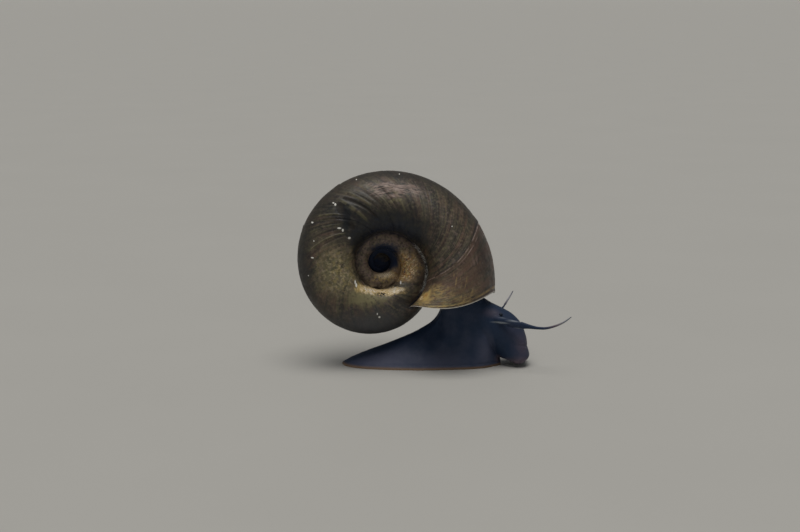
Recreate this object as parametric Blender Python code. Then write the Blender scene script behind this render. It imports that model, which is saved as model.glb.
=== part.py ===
"""Great ramshorn snail, life size, crawling on its sole.

X points to the head, Z up, and -Y to the animal's right side, where the deep pit
of the shell is. The origin is on the floor under the middle of the foot.
The soft body is modelled whole and parted with thin cuts.
"""
import math

import bmesh
import bpy
from mathutils import Vector

for old in list(bpy.data.objects):
    bpy.data.objects.remove(old)

MM = 0.001
GAP = 0.3 * MM
WELD = 0.001 * MM
SHARP_ANGLE = math.radians(40)

# Shell: a tube that grows by a fixed ratio each turn round a nearly level axis.
APEX = Vector((-7.7, 2.2, 13.87)) * MM
YAW = math.radians(7)
LEAN = math.radians(14)
TURN_RATIO = 2.15
TURNS = 3.08
LIP_ANGLE = math.radians(-15.2)
OUTER_REACH = 17.2 * MM
INNER_REACH = 6.55 * MM
HALF_THICK = 6.1 * MM
CREST_SHIFT = 1.4 * MM
PIT_RISE = 2.9 * MM
EARLY_SINK = 1.7 * MM
EARLY_SIZE = 0.26
SAG = Vector((-0.75, -0.2)) * MM
SAG_FROM, SAG_FULL = 0.3, 0.6
# The last whorl laps over the one before it, by a reach that changes round the axis.
LAP = 0.33 * MM
LAP_ROUND = Vector((0.11, 0.21)) * MM
LAP_FROM, LAP_FULL, LAP_EASE, LAP_END = 0.35, 0.5, 0.88, 1.0
# The first whorls sit off the axis of the last one.
DRIFT = Vector((-0.1, 0.78)) * MM
DRIFT_FROM, DRIFT_FULL = 0.42, 0.2
NEAR_SWEEP = math.radians(23.4)
FAR_SWEEP = math.radians(-5)
FAR_SIDE_FROM, FAR_SIDE_FULL = math.radians(180), math.radians(215)
FAR_FLATNESS = 0.85
WALL = 0.55 * MM
RECESS_START = math.radians(-26)
RECESS_END = math.radians(25)
COLLAR_BACK = math.radians(-22)
COLLAR_FACE = math.radians(-7)
PARIETAL_START, PARIETAL_END = math.radians(-423), math.radians(-234)
GAP_TURN = math.radians(1.5)
GROWTH_RESTS = [math.radians(a) for a in (-38, -132, -167)]
REST_STEP = 0.014
REST_WIDTH = math.radians(7)
LENGTH_TURNS = 0.78
RING_SIDES = (28, 24, 20, 16)
STEPS_PER_TURN = (44, 38, 32, 28)
JOIN_TURN = math.radians(9)
JOIN_INSET = 0.06 * MM
FIRST_SHELL_RADIUS = 2.0 * MM
FIRST_SHELL_FLATNESS = 0.42
FIRST_SHELL_DEPTH = 1.0 * MM

# Body: stations along X as (x, half width of the sole, height of the back).
FOOT_STATIONS = (
    (-13.35, 0.3, 0.22), (-12.9, 1.4, 0.55), (-11.9, 2.5, 1.05), (-9.5, 3.5, 2.1), (-6.0, 4.1, 3.45),
    (-3.1, 4.3, 4.7), (-1.7, 4.3, 5.5), (-0.5, 4.25, 6.3), (0.4, 4.15, 7.35), (0.9, 4.05, 8.6),
    (1.7, 4.0, 12.0), (4.9, 3.6, 12.0), (7.0, 2.9, 9.6), (8.2, 2.0, 6.0), (8.9, 1.45, 3.0),
    (9.15, 1.2, 1.25), (9.38, 0.95, 0.95), (9.54, 0.55, 0.5))
NECK_HALF_WIDTH = 2.9 * MM
# The neck is oval seen from above: its middle, half length and least share of its width,
# and the heights over which the sides of the foot come in to it.
NECK_MIDDLE, NECK_HALF_LENGTH, NECK_LEAST = 4.3 * MM, 3.7 * MM, 0.15
OVAL_FROM, OVAL_FULL = 3.5 * MM, 7 * MM
FOOT_FLARE_HEIGHT = 4.5 * MM
FOOT_SIDES = 13
# Low sections of the back are peaked and tall ones are boxy: heights, and powers of their outline.
BACK_LOW, BACK_TALL = 5 * MM, 10 * MM
PEAKED_POWER, BOXY_POWER = 1.5, 4.0
PEAKED_SIDE, BOXY_SIDE = 0.72, 0.5

# Head: pairs of a point on its top and front line and one on its under line, with a half width.
HEAD_STATIONS = (
    ((6.2, 10.3), (5.4, 3.4), 2.5), ((7.9, 9.1), (6.8, 2.9), 2.7), ((9.5, 8.3), (7.9, 2.5), 2.75),
    ((11.15, 7.35), (8.7, 1.85), 2.7), ((12.4, 6.05), (9.1, 1.3), 2.7), ((13.1, 4.4), (9.4, 1.05), 2.85),
    ((13.35, 2.7), (9.85, 0.95), 3.0), ((13.6, 1.35), (10.6, 0.72), 2.95), ((12.8, 0.55), (11.45, 0.3), 2.2))
HEAD_SIDES = 20
HEAD_FULLNESS = 0.8

# Cuts between the parts of the body: a point and the normal.
TAIL_CUT = ((-4.6, 0, 0), (1, 0, 0))
FOOT_CUT = ((3.2, 0, 0), (1, 0, 0))
NECK_CUT = ((-3.6, 0, 4.5), (0.19, 0, 1))
HEAD_CUT = ((7.6, 0, 9.0), (1, 0, 0.22))
VELUM_CUT = ((11.2, 0, 2.5), (-0.12, 0, 1))
MOUTH_CUT = ((11.2, 0, 2.5), (0, 1, 0))

# Tentacles: points from root to tip as (x, sideways, z) with half height and half thickness.
RIGHT_TENTACLE = (
    ((7.6, 1.4, 7.1), 0.6, 0.5), ((8.9, 2.5, 6.95), 0.53, 0.42), ((10.0, 3.1, 6.87), 0.55, 0.32),
    ((10.85, 3.4, 6.6), 0.62, 0.27), ((12.1, 3.85, 6.46), 0.54, 0.24), ((12.95, 4.15, 6.39), 0.36, 0.22),
    ((13.75, 4.4, 6.29), 0.25, 0.2), ((14.45, 4.6, 6.23), 0.2, 0.19), ((15.4, 4.9, 6.26), 0.18, 0.18),
    ((16.3, 5.2, 6.5), 0.16, 0.16), ((17.2, 5.5, 6.89), 0.14, 0.14), ((18.1, 5.8, 7.43), 0.11, 0.11),
    ((18.92, 6.1, 8.14), 0.06, 0.06))
LEFT_TENTACLE = (
    ((7.6, 1.4, 7.1), 0.6, 0.5), ((8.7, 2.4, 7.1), 0.5, 0.38), ((9.45, 3.0, 7.3), 0.32, 0.26),
    ((10.03, 3.7, 7.53), 0.2, 0.18), ((10.4, 4.7, 7.8), 0.15, 0.15), ((10.84, 5.9, 8.14), 0.13, 0.13),
    ((11.34, 7.3, 8.53), 0.11, 0.11), ((11.85, 9.0, 8.9), 0.06, 0.06))
TENTACLE_SIDES = 10
TENTACLE_STEPS = 3
BASE_SPAN, MIDDLE_SPAN = 4, 2
EYE_RADIUS = 0.3 * MM
EYE_PLACE = Vector((9.36, 1.78, 7.53)) * MM
BALL_SEGMENTS, BALL_RINGS = 12, 8
BLOCK = 60 * MM

# Colour and roughness of each kind of surface.
SHELL_HORN = ((0.07, 0.05, 0.03), 0.3)
MANTLE_EDGE = ((0.02, 0.018, 0.018), 0.5)
DARK_SKIN = ((0.010, 0.012, 0.020), 0.5)
MOUTH_LOBE = ((0.022, 0.020, 0.026), 0.5)
SOLE_SKIN = ((0.020, 0.017, 0.018), 0.5)
TENTACLE_SKIN = ((0.014, 0.012, 0.018), 0.4)
EYE_BLACK = ((0.005, 0.005, 0.006), 0.1)

SHELL_RIGHT = Vector((math.cos(YAW), math.sin(YAW), 0))
SHELL_AXIS = Vector((math.sin(YAW) * math.cos(LEAN), -math.cos(YAW) * math.cos(LEAN), math.sin(LEAN)))
SHELL_UP = SHELL_AXIS.cross(SHELL_RIGHT)

snail = bpy.data.collections.new("great_ramshorn_snail")
cutters = bpy.data.collections.new("cutters")
bpy.context.scene.collection.children.link(snail)
bpy.context.scene.collection.children.link(cutters)


def smooth_step(low, high, value):
    share = min(max((value - low) / (high - low), 0), 1)
    return share * share * (3 - 2 * share)


def curve_through(stations, count):
    """Values along a smooth curve through the stations, count steps between each pair."""
    ends = [stations[0]] + list(stations) + [stations[-1]]
    result = []
    for k in range(len(stations) - 1):
        before, first, second, after = ends[k:k + 4]
        for step in range(count):
            t = step / count
            row = []
            for a, b, c, d in zip(before, first, second, after):
                row.append(b + t * (c - a) / 2 + t * t * (a - 2.5 * b + 2 * c - d / 2)
                           + t ** 3 * (1.5 * (b - c) + (d - a) / 2))
            result.append(row)
    result.append(list(stations[-1]))
    return result


def working_piece(name, mesh):
    """A new object among the cutters, from a bmesh that is then let go."""
    data = bpy.data.meshes.new(name)
    mesh.to_mesh(data)
    mesh.free()
    piece = bpy.data.objects.new(name, data)
    piece.hide_render = True
    piece.display_type = "WIRE"
    cutters.objects.link(piece)
    return piece


def finished(piece, finish):
    """Move a working piece to the snail, shade it smooth and give it its own material."""
    colour, roughness = finish
    cutters.objects.unlink(piece)
    snail.objects.link(piece)
    piece.hide_render = False
    piece.display_type = "TEXTURED"
    piece.data.shade_smooth()
    piece.data.set_sharp_from_angle(angle=SHARP_ANGLE)
    material = bpy.data.materials.new(f"{piece.name}_finish")
    material.use_nodes = True
    shader = material.node_tree.nodes["Principled BSDF"]
    shader.inputs["Base Color"].default_value = (*colour, 1)
    shader.inputs["Roughness"].default_value = roughness
    piece.data.materials.clear()
    piece.data.materials.append(material)
    return piece


def loft(name, rings):
    """A closed mesh through rings of equal size, its ends closed by fans."""
    mesh = bmesh.new()
    loops = [[mesh.verts.new(point) for point in ring] for ring in rings]
    sides = len(rings[0])
    for first, second in zip(loops, loops[1:]):
        for i in range(sides):
            j = (i + 1) % sides
            mesh.faces.new((first[i], first[j], second[j], second[i]))
    for loop in (loops[0], loops[-1]):
        centre = mesh.verts.new(sum((vert.co for vert in loop), Vector()) / sides)
        for i in range(sides):
            mesh.faces.new((loop[i], loop[(i + 1) % sides], centre))
    bmesh.ops.triangulate(mesh, faces=mesh.faces[:])
    bmesh.ops.recalc_face_normals(mesh, faces=mesh.faces[:])
    return working_piece(name, mesh)


def combine(piece, others, operation):
    """Join a piece with others or cut them from it in one Boolean, and keep the largest closed surface.

    The exact solver leaves slivers and open edges where the whorls graze each other.
    """
    group = bpy.data.collections.new("operands")
    for other in others:
        group.objects.link(other)
    modifier = piece.modifiers.new("combine", "BOOLEAN")
    modifier.operation = operation
    modifier.solver = "MANIFOLD"
    modifier.operand_type = "COLLECTION"
    modifier.collection = group
    view = bpy.context.evaluated_depsgraph_get()
    data = bpy.data.meshes.new_from_object(piece.evaluated_get(view))
    piece.modifiers.clear()
    bpy.data.collections.remove(group)
    for other in others:
        bpy.data.objects.remove(other)
    mesh = bmesh.new()
    mesh.from_mesh(data)
    bmesh.ops.remove_doubles(mesh, verts=mesh.verts, dist=WELD)
    keep_largest(mesh)
    bmesh.ops.triangulate(mesh, faces=mesh.faces[:])
    mesh.to_mesh(data)
    mesh.free()
    piece.data = data
    return piece


def keep_largest(mesh):
    """Delete every closed surface but the one with the most space inside its box."""
    unseen = set(mesh.verts)
    groups = []
    while unseen:
        group, frontier = set(), [unseen.pop()]
        while frontier:
            vert = frontier.pop()
            group.add(vert)
            for edge in vert.link_edges:
                other = edge.other_vert(vert)
                if other in unseen:
                    unseen.remove(other)
                    frontier.append(other)
        groups.append(group)
    if len(groups) < 2:
        return
    groups.sort(key=lambda group: box_volume([vert.co for vert in group]))
    for group in groups[:-1]:
        bmesh.ops.delete(mesh, geom=list(group), context="VERTS")


def box_volume(points):
    sides = [max(p[i] for p in points) - min(p[i] for p in points) for i in range(3)]
    return sides[0] * sides[1] * sides[2]


def half_space(cut, side):
    """A large box on one side of a cut that reaches half the gap past it."""
    point = Vector(cut[0]) * MM
    normal = Vector(cut[1]).normalized() * side
    mesh = bmesh.new()
    bmesh.ops.create_cube(mesh, size=BLOCK)
    box = working_piece("half_space", mesh)
    box.rotation_euler = normal.to_track_quat("X", "Z").to_euler()
    box.location = point + normal * (BLOCK / 2 - GAP / 2)
    return box


def sweep_back(side):
    """How far ahead of the periphery the growth line runs at an angle round the whorl."""
    near = NEAR_SWEEP * (1 - math.cos(side))
    far = FAR_SWEEP * (1 - math.cos(side))
    share = smooth_step(FAR_SIDE_FROM, FAR_SIDE_FULL, side)
    return near * (1 - share) + far * share


def growth_rest(turn):
    """Slight swelling just before each pause in growth."""
    swell = 0
    for rest in GROWTH_RESTS:
        behind = rest - turn
        if 0 <= behind < REST_WIDTH:
            swell = REST_STEP * (1 - behind / REST_WIDTH)
    return 1 + swell


def whorl_point(turn, side, inset):
    """A point on the shell's outside, or inset from it."""
    turn = turn + sweep_back(side)
    size = math.exp(math.log(TURN_RATIO) / (2 * math.pi) * turn)
    angle = LIP_ANGLE - turn
    sag = (SAG.x * math.cos(angle) + SAG.y * math.sin(angle)) * smooth_step(SAG_FROM, SAG_FULL, size)
    outer = OUTER_REACH * size + sag
    lap = LAP + LAP_ROUND.x * math.cos(angle) + LAP_ROUND.y * math.sin(angle)
    lap *= smooth_step(LAP_FROM, LAP_FULL, size) * (1 - smooth_step(LAP_EASE, LAP_END, size))
    inner = INNER_REACH * size - lap
    half_width = (outer - inner) / 2 * growth_rest(turn) - inset
    half_thick = HALF_THICK * size * growth_rest(turn) - inset
    lift = math.sin(side)
    crest = CREST_SHIFT * size * max(lift, 0)
    if lift < 0:
        lift = -abs(lift) ** FAR_FLATNESS
    radius = (outer + inner) / 2 + half_width * math.cos(side) - crest
    sink = EARLY_SINK * (1 - smooth_step(0, EARLY_SIZE, size))
    height = PIT_RISE * size - sink + half_thick * lift
    drift = DRIFT * (1 - smooth_step(DRIFT_FULL, DRIFT_FROM, size))
    across = SHELL_RIGHT * (math.cos(angle) * radius + drift.x)
    upward = SHELL_UP * (math.sin(angle) * radius + drift.y)
    return APEX + across + upward + SHELL_AXIS * height


def whorl_tube(name, start, end, inset=0.0, level=0, join=0.0):
    """A length of the shell's tube; its last stretch may dive a little into the next length."""
    sides = RING_SIDES[level]
    steps = max(2, round((end + join - start) / (2 * math.pi) * STEPS_PER_TURN[level]))
    rings = []
    for step in range(steps + 1):
        turn = start + (end + join - start) * step / steps
        dive = JOIN_INSET * max(0, turn - end + join / 2) / (join / 2) if join else 0
        rings.append([whorl_point(turn, 2 * math.pi * i / sides, inset + dive) for i in range(sides)])
    return loft(name, rings)


def make_shell():
    """Lengths under a turn joined in one piece, with the mouth hollowed as far as the mantle."""
    length = 2 * math.pi * LENGTH_TURNS
    last = whorl_tube("shell", -length, 0)
    recess = whorl_tube("recess", RECESS_START, RECESS_END, inset=WALL)
    combine(last, [recess], "DIFFERENCE")
    earlier = []
    for level in range(1, math.ceil(TURNS / LENGTH_TURNS)):
        start = -min(length * (level + 1), 2 * math.pi * TURNS)
        earlier.append(whorl_tube("earlier", start, -length * level, level=level, join=JOIN_TURN))
    place = APEX + SHELL_RIGHT * DRIFT.x + SHELL_UP * DRIFT.y - SHELL_AXIS * FIRST_SHELL_DEPTH
    first = ball("first_shell", FIRST_SHELL_RADIUS, place)
    first.rotation_euler = SHELL_AXIS.to_track_quat("Z", "Y").to_euler()
    first.scale.z = FIRST_SHELL_FLATNESS
    return combine(last, earlier + [first], "UNION")


def make_parietal(inset):
    """The stretch of the whorl before, where it bulges into the mouth."""
    return whorl_tube("parietal", PARIETAL_START, PARIETAL_END, inset=inset)


def make_collar():
    """The edge of the mantle, which fills the mouth of the shell inside the lip."""
    collar = whorl_tube("mantle_collar", COLLAR_BACK, COLLAR_FACE, inset=WALL + GAP)
    return combine(collar, [make_parietal(-GAP)], "DIFFERENCE")


def foot_ring(x, half_width, height):
    """One section across the foot, up over the back, as a closed ring with a flat underside."""
    oval = max(NECK_LEAST, 1 - ((x * MM - NECK_MIDDLE) / NECK_HALF_LENGTH) ** 2) ** 0.5
    x, half_width, height = x * MM, half_width * MM, height * MM
    neck = min(NECK_HALF_WIDTH, half_width)
    boxy = smooth_step(BACK_LOW, BACK_TALL, height)
    power = PEAKED_POWER + (BOXY_POWER - PEAKED_POWER) * boxy
    side_power = PEAKED_SIDE + (BOXY_SIDE - PEAKED_SIDE) * boxy
    ring = []
    for i in range(FOOT_SIDES):
        turn = math.pi * i / (FOOT_SIDES - 1)
        z = height * math.sin(turn)
        flare = (1 - min(z / FOOT_FLARE_HEIGHT, 1)) ** 2
        reach = neck + (half_width - neck) * flare
        y = reach * (1 - (z / height) ** power) ** side_power
        y += (min(y, NECK_HALF_WIDTH * oval) - y) * smooth_step(OVAL_FROM, OVAL_FULL, z)
        ring.append(Vector((x, -y if turn < math.pi / 2 else y, z)))
    for i in range(1, FOOT_SIDES - 1):
        y = half_width * math.cos(math.pi * i / (FOOT_SIDES - 1))
        ring.append(Vector((x, y, 0)))
    return ring


def head_ring(front, under, half_width, swell=0.0):
    """One section of the head, from its front line to its under line."""
    front = Vector((front[0], 0, front[1])) * MM
    under = Vector((under[0], 0, under[1])) * MM
    centre = (front + under) / 2
    reach = (front - under) / 2
    reach = reach * (1 + swell / reach.length)
    ring = []
    for i in range(HEAD_SIDES):
        turn = 2 * math.pi * i / HEAD_SIDES
        side = math.copysign(abs(math.sin(turn)) ** HEAD_FULLNESS, math.sin(turn))
        ring.append(centre + reach * math.cos(turn) + Vector((0, (half_width * MM + swell) * side, 0)))
    return ring


def make_head_loft(swell=0.0):
    rows = [(f[0], f[1], u[0], u[1], w) for f, u, w in HEAD_STATIONS]
    rings = [head_ring(row[0:2], row[2:4], row[4], swell) for row in curve_through(rows, 2)]
    return loft("head_loft", rings)


def make_flesh():
    """Foot, neck and head in one piece, cut clear of the shell and the mantle."""
    rings = [foot_ring(*row) for row in curve_through(FOOT_STATIONS, 2)]
    flesh = combine(loft("flesh", rings), [make_head_loft()], "UNION")
    around = whorl_tube("around", -2 * math.pi * LENGTH_TURNS, GAP_TURN, inset=-GAP)
    inside = whorl_tube("inside", COLLAR_FACE + GAP_TURN, RECESS_END, inset=WALL + GAP)
    combine(around, [inside], "DIFFERENCE")
    return combine(flesh, [around, make_parietal(-GAP)], "DIFFERENCE")


def part_of(flesh, name, finish, cuts):
    """A copy of the flesh with what lies past each cut taken away."""
    piece = flesh.copy()
    piece.data = flesh.data.copy()
    piece.name = name
    cutters.objects.link(piece)
    combine(piece, [half_space(cut, side) for cut, side in cuts], "DIFFERENCE")
    return finished(piece, finish)


def tentacle_rings(stations, side):
    """Sections along a tentacle, level with its own line."""
    rows = [(p[0], p[1], p[2], tall, thick) for p, tall, thick in stations]
    rows = curve_through(rows, TENTACLE_STEPS)
    places = [Vector((row[0], row[1] * side, row[2])) * MM for row in rows]
    rings = []
    for k, row in enumerate(rows):
        along = (places[min(k + 1, len(rows) - 1)] - places[max(k - 1, 0)]).normalized()
        across = along.cross(Vector((0, 0, 1))).normalized()
        up = across.cross(along)
        up, across = up * row[3] * MM, across * row[4] * MM
        turns = [2 * math.pi * i / TENTACLE_SIDES for i in range(TENTACLE_SIDES)]
        rings.append([places[k] + up * math.cos(turn) + across * math.sin(turn) for turn in turns])
    return rings


def make_tentacle(name, stations, side):
    """Base, middle and tip of one tentacle, the base cut clear of the head."""
    rings = tentacle_rings(stations, side)
    first = BASE_SPAN * TENTACLE_STEPS
    second = first + MIDDLE_SPAN * TENTACLE_STEPS
    spans = (("base", rings[:first + 1]), ("middle", rings[first:second + 1]), ("tip", rings[second:]))
    for k, (label, span) in enumerate(spans):
        if k:
            start = sum(span[0], Vector()) / TENTACLE_SIDES
            along = (sum(span[1], Vector()) / TENTACLE_SIDES - start).normalized()
            span = [[point + along * GAP for point in span[0]]] + span[1:]
        piece = loft(f"{name}_{label}", span)
        if k == 0:
            combine(piece, [make_head_loft(GAP)], "DIFFERENCE")
        finished(piece, TENTACLE_SKIN)


def ball(name, radius, place):
    mesh = bmesh.new()
    bmesh.ops.create_uvsphere(mesh, u_segments=BALL_SEGMENTS, v_segments=BALL_RINGS, radius=radius)
    piece = working_piece(name, mesh)
    piece.location = place
    return piece


def make_body():
    """The flesh in its parts, with the eyes set in sockets and the tentacles against the head."""
    flesh = make_flesh()
    part_of(flesh, "tail", SOLE_SKIN, [(TAIL_CUT, 1)])
    part_of(flesh, "foot_middle", SOLE_SKIN, [(TAIL_CUT, -1), (FOOT_CUT, 1), (NECK_CUT, 1)])
    part_of(flesh, "foot_front", SOLE_SKIN, [(FOOT_CUT, -1), (NECK_CUT, 1), (HEAD_CUT, 1)])
    part_of(flesh, "neck", DARK_SKIN, [(TAIL_CUT, -1), (NECK_CUT, -1), (HEAD_CUT, 1)])
    head = part_of(flesh, "head", DARK_SKIN, [(HEAD_CUT, -1), (VELUM_CUT, -1)])
    for label, side, stations in (("right", -1, RIGHT_TENTACLE), ("left", 1, LEFT_TENTACLE)):
        part_of(flesh, f"velum_{label}", MOUTH_LOBE, [(HEAD_CUT, -1), (VELUM_CUT, 1), (MOUTH_CUT, -side)])
        place = Vector((EYE_PLACE.x, EYE_PLACE.y * side, EYE_PLACE.z))
        combine(head, [ball("socket", EYE_RADIUS + GAP, place)], "DIFFERENCE")
        finished(ball(f"eye_{label}", EYE_RADIUS, place), EYE_BLACK)
        make_tentacle(f"tentacle_{label}", stations, side)
    bpy.data.objects.remove(flesh)


finished(make_shell(), SHELL_HORN)
finished(make_collar(), MANTLE_EDGE)
make_body()
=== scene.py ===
"""Great ramshorn snail, life size: the fine shell, the skin, the eyes and the stage.

Everything is in metres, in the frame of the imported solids. X points to the head,
Z up, and -Y to the side of the deep pit of the shell, which the camera sees.
"""

import math

import bmesh
import bpy
import numpy as np
from bpy.props import FloatProperty, FloatVectorProperty, PointerProperty
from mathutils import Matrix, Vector


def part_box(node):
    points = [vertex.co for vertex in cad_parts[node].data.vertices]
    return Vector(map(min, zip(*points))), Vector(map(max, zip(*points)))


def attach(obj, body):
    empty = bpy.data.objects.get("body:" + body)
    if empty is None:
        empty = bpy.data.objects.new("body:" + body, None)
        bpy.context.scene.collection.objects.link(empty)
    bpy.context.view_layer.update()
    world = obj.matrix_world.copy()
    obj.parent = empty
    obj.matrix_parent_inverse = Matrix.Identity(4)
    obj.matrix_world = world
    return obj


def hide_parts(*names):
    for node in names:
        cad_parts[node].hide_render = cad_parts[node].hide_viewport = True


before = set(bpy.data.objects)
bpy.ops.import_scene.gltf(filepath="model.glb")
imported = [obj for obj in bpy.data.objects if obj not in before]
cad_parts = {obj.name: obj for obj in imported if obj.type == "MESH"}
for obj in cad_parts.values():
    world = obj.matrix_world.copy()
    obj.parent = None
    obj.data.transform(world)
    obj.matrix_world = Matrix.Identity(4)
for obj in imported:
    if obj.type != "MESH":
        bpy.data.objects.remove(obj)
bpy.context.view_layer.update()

bl_info = {
    "name": "Great Ramshorn Snail",
    "version": (1, 0, 0),
    "blender": (4, 5, 0),
    "location": "3D View > Sidebar > Ramshorn",
    "description": "Fine shell, skin, eyes and stage of a life-size ramshorn snail",
    "category": "Add Mesh",
}

MM = 0.001
FULL_TURN = 2 * math.pi
MERGE = 0.00001 * MM

FOOT_NODES = ("tail", "foot_middle", "foot_front", "neck", "head", "velum_right", "velum_left",
              "mantle_collar")
TENTACLE_PARTS = ("base", "middle", "tip")

# Growth rule of the shell, as in the solids.
NEAR_SWEEP = math.radians(23.4)
FAR_SWEEP = math.radians(-5)
FAR_SIDE_FROM, FAR_SIDE_FULL = math.radians(180), math.radians(215)
FAR_FLATNESS = 0.85
SAG = (-0.75 * MM, -0.2 * MM)
SAG_FROM, SAG_FULL = 0.3, 0.6
# The last whorl laps over the one before it, by a reach that changes round the axis.
LAP, LAP_ROUND = 0.33 * MM, (0.11 * MM, 0.21 * MM)
LAP_FROM, LAP_FULL, LAP_EASE, LAP_END = 0.35, 0.5, 0.88, 1.0
# The first whorls sit off the axis of the last one.
DRIFT = (-0.1 * MM, 0.78 * MM)
DRIFT_FROM, DRIFT_FULL = 0.42, 0.2
# The tube is made in lengths, each older one with coarser steps, and then joined.
LENGTH_TURNS = 0.78
SIDES = 80
STEP_ANGLES = [math.radians(a) for a in (0.42, 0.7, 1.4, 2.8)]
RECESS_BACK, RECESS_FRONT = math.radians(-26), math.radians(25)
RECESS_STEPS = 110
# Where growth paused, in degrees behind the lip, and how high the step is in millimetres.
GROWTH_RESTS = ((-38, 0.07), (-132, 0.08), (-167, 0.09))
REST_RISE, REST_DIP, REST_DIP_SHARE = math.radians(5.5), math.radians(2.2), 0.35
# Spacing of the growth ridges, of their patches and of the loose folds, in degrees of growth.
RIDGE_SPACING, PATCH_SPACING, LOOSE_SPACING = 3.4, 26, 3.6
LOOSE_MIDDLE, LOOSE_REACH = math.radians(-165), math.radians(95)
# Relief fades out inside the mouth and along the suture, over these distances in millimetres.
INSIDE_FADE, SUTURE_FADE = (0.03, 0.08), (0.0, 0.35)
WALL_THINS_FROM = math.radians(-16)
KNOB_HEIGHT = 0.42
# Across the growth, the texture is laid out at this radius in millimetres.
ACROSS_MM, SUTURE_READ_MM, SPECK_AND_GLINT_DEPTH = 5.7, 4, 0.5
# Folds of the near side of the last whorl: growth and side in degrees of a point on the fold, its
# slant, its reach along the growth, the sides where it starts and ends, and its height in millimetres.
FOLDS = (
    (-138.8, 58, -0.05, 2.4, 30, 88, 0.09), (-144.9, 70, -0.05, 2.6, 38, 118, -0.14),
    (-151.3, 70, -0.2, 2.6, 34, 116, 0.1), (-156.0, 66, -0.3, 2.0, 40, 100, -0.07),
    (-163.0, 76, -0.48, 5.0, 44, 112, -0.2), (-117.5, 66, -0.02, 2.4, 40, 100, -0.08),
    (-111.0, 68, 0.0, 2.4, 44, 104, 0.06), (-104.5, 70, 0.0, 2.2, 48, 104, -0.06),
    (-161.6, 54, 0.0, 1.5, 28, 76, 0.12), (-168.5, 52, 0.0, 2.2, 26, 74, -0.06),
    (-173.5, 56, 0.03, 1.8, 26, 84, 0.06), (-179.5, 60, 0.05, 2.0, 28, 90, -0.06),
    (-186.6, 68, 0.1, 1.5, 34, 100, 0.13), (-191.0, 68, 0.12, 2.4, 34, 104, -0.07),
    (-130.5, 60, -0.05, 3.0, 34, 95, -0.06), (-124.5, 62, -0.03, 2.8, 36, 90, 0.05))
FOLD_END = 14
# Lime specks on the shell and, in the last five rows, painted glints: slivers and streaks at both ends
# of the shoulder under the pit. Place, width and height in millimetres.
SPECKS_AND_GLINTS = (
    (-14.1, -1.7, 23.4, 0.19, 0.22), (-14.4, -1.65, 23.6, 0.2, 0.13), (-17.4, -1.4, 20.8, 0.24, 0.14),
    (-13.5, -3.5, 20.3, 0.36, 0.15), (-13.0, -3.5, 20.0, 0.18, 0.26), (-12.1, -3.5, 18.9, 0.26, 0.2),
    (-17.1, -3.0, 18.4, 0.1, 0.11), (-11.2, 1.0, 26.6, 0.1, 0.08), (-17.3, -3.5, 16.1, 0.3, 0.12),
    (-17.9, -3.3, 13.5, 0.1, 0.1), (-7.9, -4.1, 7.7, 0.19, 0.19), (-8.2, -4.1, 8.2, 0.12, 0.2),
    (2.3, -3.2, 20.5, 0.1, 0.1), (-5.1, 1.8, 27.3, 0.09, 0.08), (-11.3, -3.8, 12.7, 0.13, 0.4),
    (-11.15, -3.8, 12.2, 0.17, 0.4), (-4.9, -1.9, 12.3, 0.13, 0.42), (-4.5, -1.8, 12.1, 0.4, 0.07),
    (-4.6, -1.8, 11.8, 0.3, 0.06))
# Darker places of the horn: colour, centre and reach in millimetres, softness and share. The first
# darkens the top edge and the eighth the upper left; the rest are painted shade on the slope above
# the pit and beside it, below the shoulder and on the underside, in shadow, pit black and grey.
DARK_PLACES = (
    ("shadow", (-6.0, 0.8, 27.7), (12.0, 1.6, 1.1), 1, 0.6),
    ("shadow", (-9.5, -4.0, 6.5), (9.0, 4.5, 2.9), 1, 0.4),
    ("shadow", (-7.0, -2.6, 21.0), (11.0, 5.0, 5.0), 1, 0.65),
    ("shadow", (-6.1, -2.6, 19.3), (9.0, 3.4, 4.5), 0.7, 1),
    ("pit_black", (-6.6, -2.6, 19.0), (7.0, 3.4, 3.4), 0.8, 0.5),
    ("shadow", (-10.9, -2.6, 17.4), (1.8, 2.4, 2.8), 1, 0.85),
    ("shadow", (-3.5, -3.7, 9.8), (3.4, 3.0, 1.9), 1, 0.8),
    ("shadow", (-10.5, -1.8, 24.2), (2.8, 2.5, 1.8), 1, 0.4),
    ("shadow", (-2.2, -2.4, 18.2), (2.2, 2.8, 3.6), 1, 0.8),
    ("shadow", (-9.9, -2.7, 19.0), (3.0, 2.8, 2.8), 1, 0.7),
    ("grey", (-8.0, -4.0, 6.4), (11.0, 5.0, 4.4), 1, 0.85))
# The whorl before the last, where the body lies against it, and clearances of the body round the shell.
PARIETAL = (math.radians(-423), math.radians(-234))
AROUND, WITHIN_WALL, MANTLE_GAP, PARIETAL_GAP = -0.25 * MM, 0.1 * MM, 0.2 * MM, -0.2 * MM
MANTLE, BODY_STEP = (math.radians(-21), math.radians(-7)), math.radians(1.5)

# Body stations in millimetres, as in the solids: x, half width of the sole, height of the back.
FOOT_STATIONS = (
    (-13.35, 0.3, 0.22), (-12.9, 1.4, 0.55), (-11.9, 2.5, 1.05), (-9.5, 3.5, 2.1), (-6.0, 4.1, 3.45),
    (-3.1, 4.3, 4.7), (-1.7, 4.3, 5.5), (-0.5, 4.25, 6.3), (0.4, 4.15, 7.35), (0.9, 4.05, 8.6),
    (1.7, 4.0, 12.0), (4.9, 3.6, 12.0), (7.0, 2.9, 9.6), (8.2, 2.0, 6.0), (8.9, 1.45, 3.0),
    (9.15, 1.2, 1.25), (9.38, 0.95, 0.95), (9.54, 0.55, 0.5))
# The neck is oval seen from above: its middle, half length and least share of its width.
NECK_MIDDLE, NECK_HALF_LENGTH, NECK_LEAST = 4.3 * MM, 3.7 * MM, 0.15
NECK_HALF_WIDTH, NECK_FROM, NECK_FULL = 2.9 * MM, 3.5 * MM, 7 * MM
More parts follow.
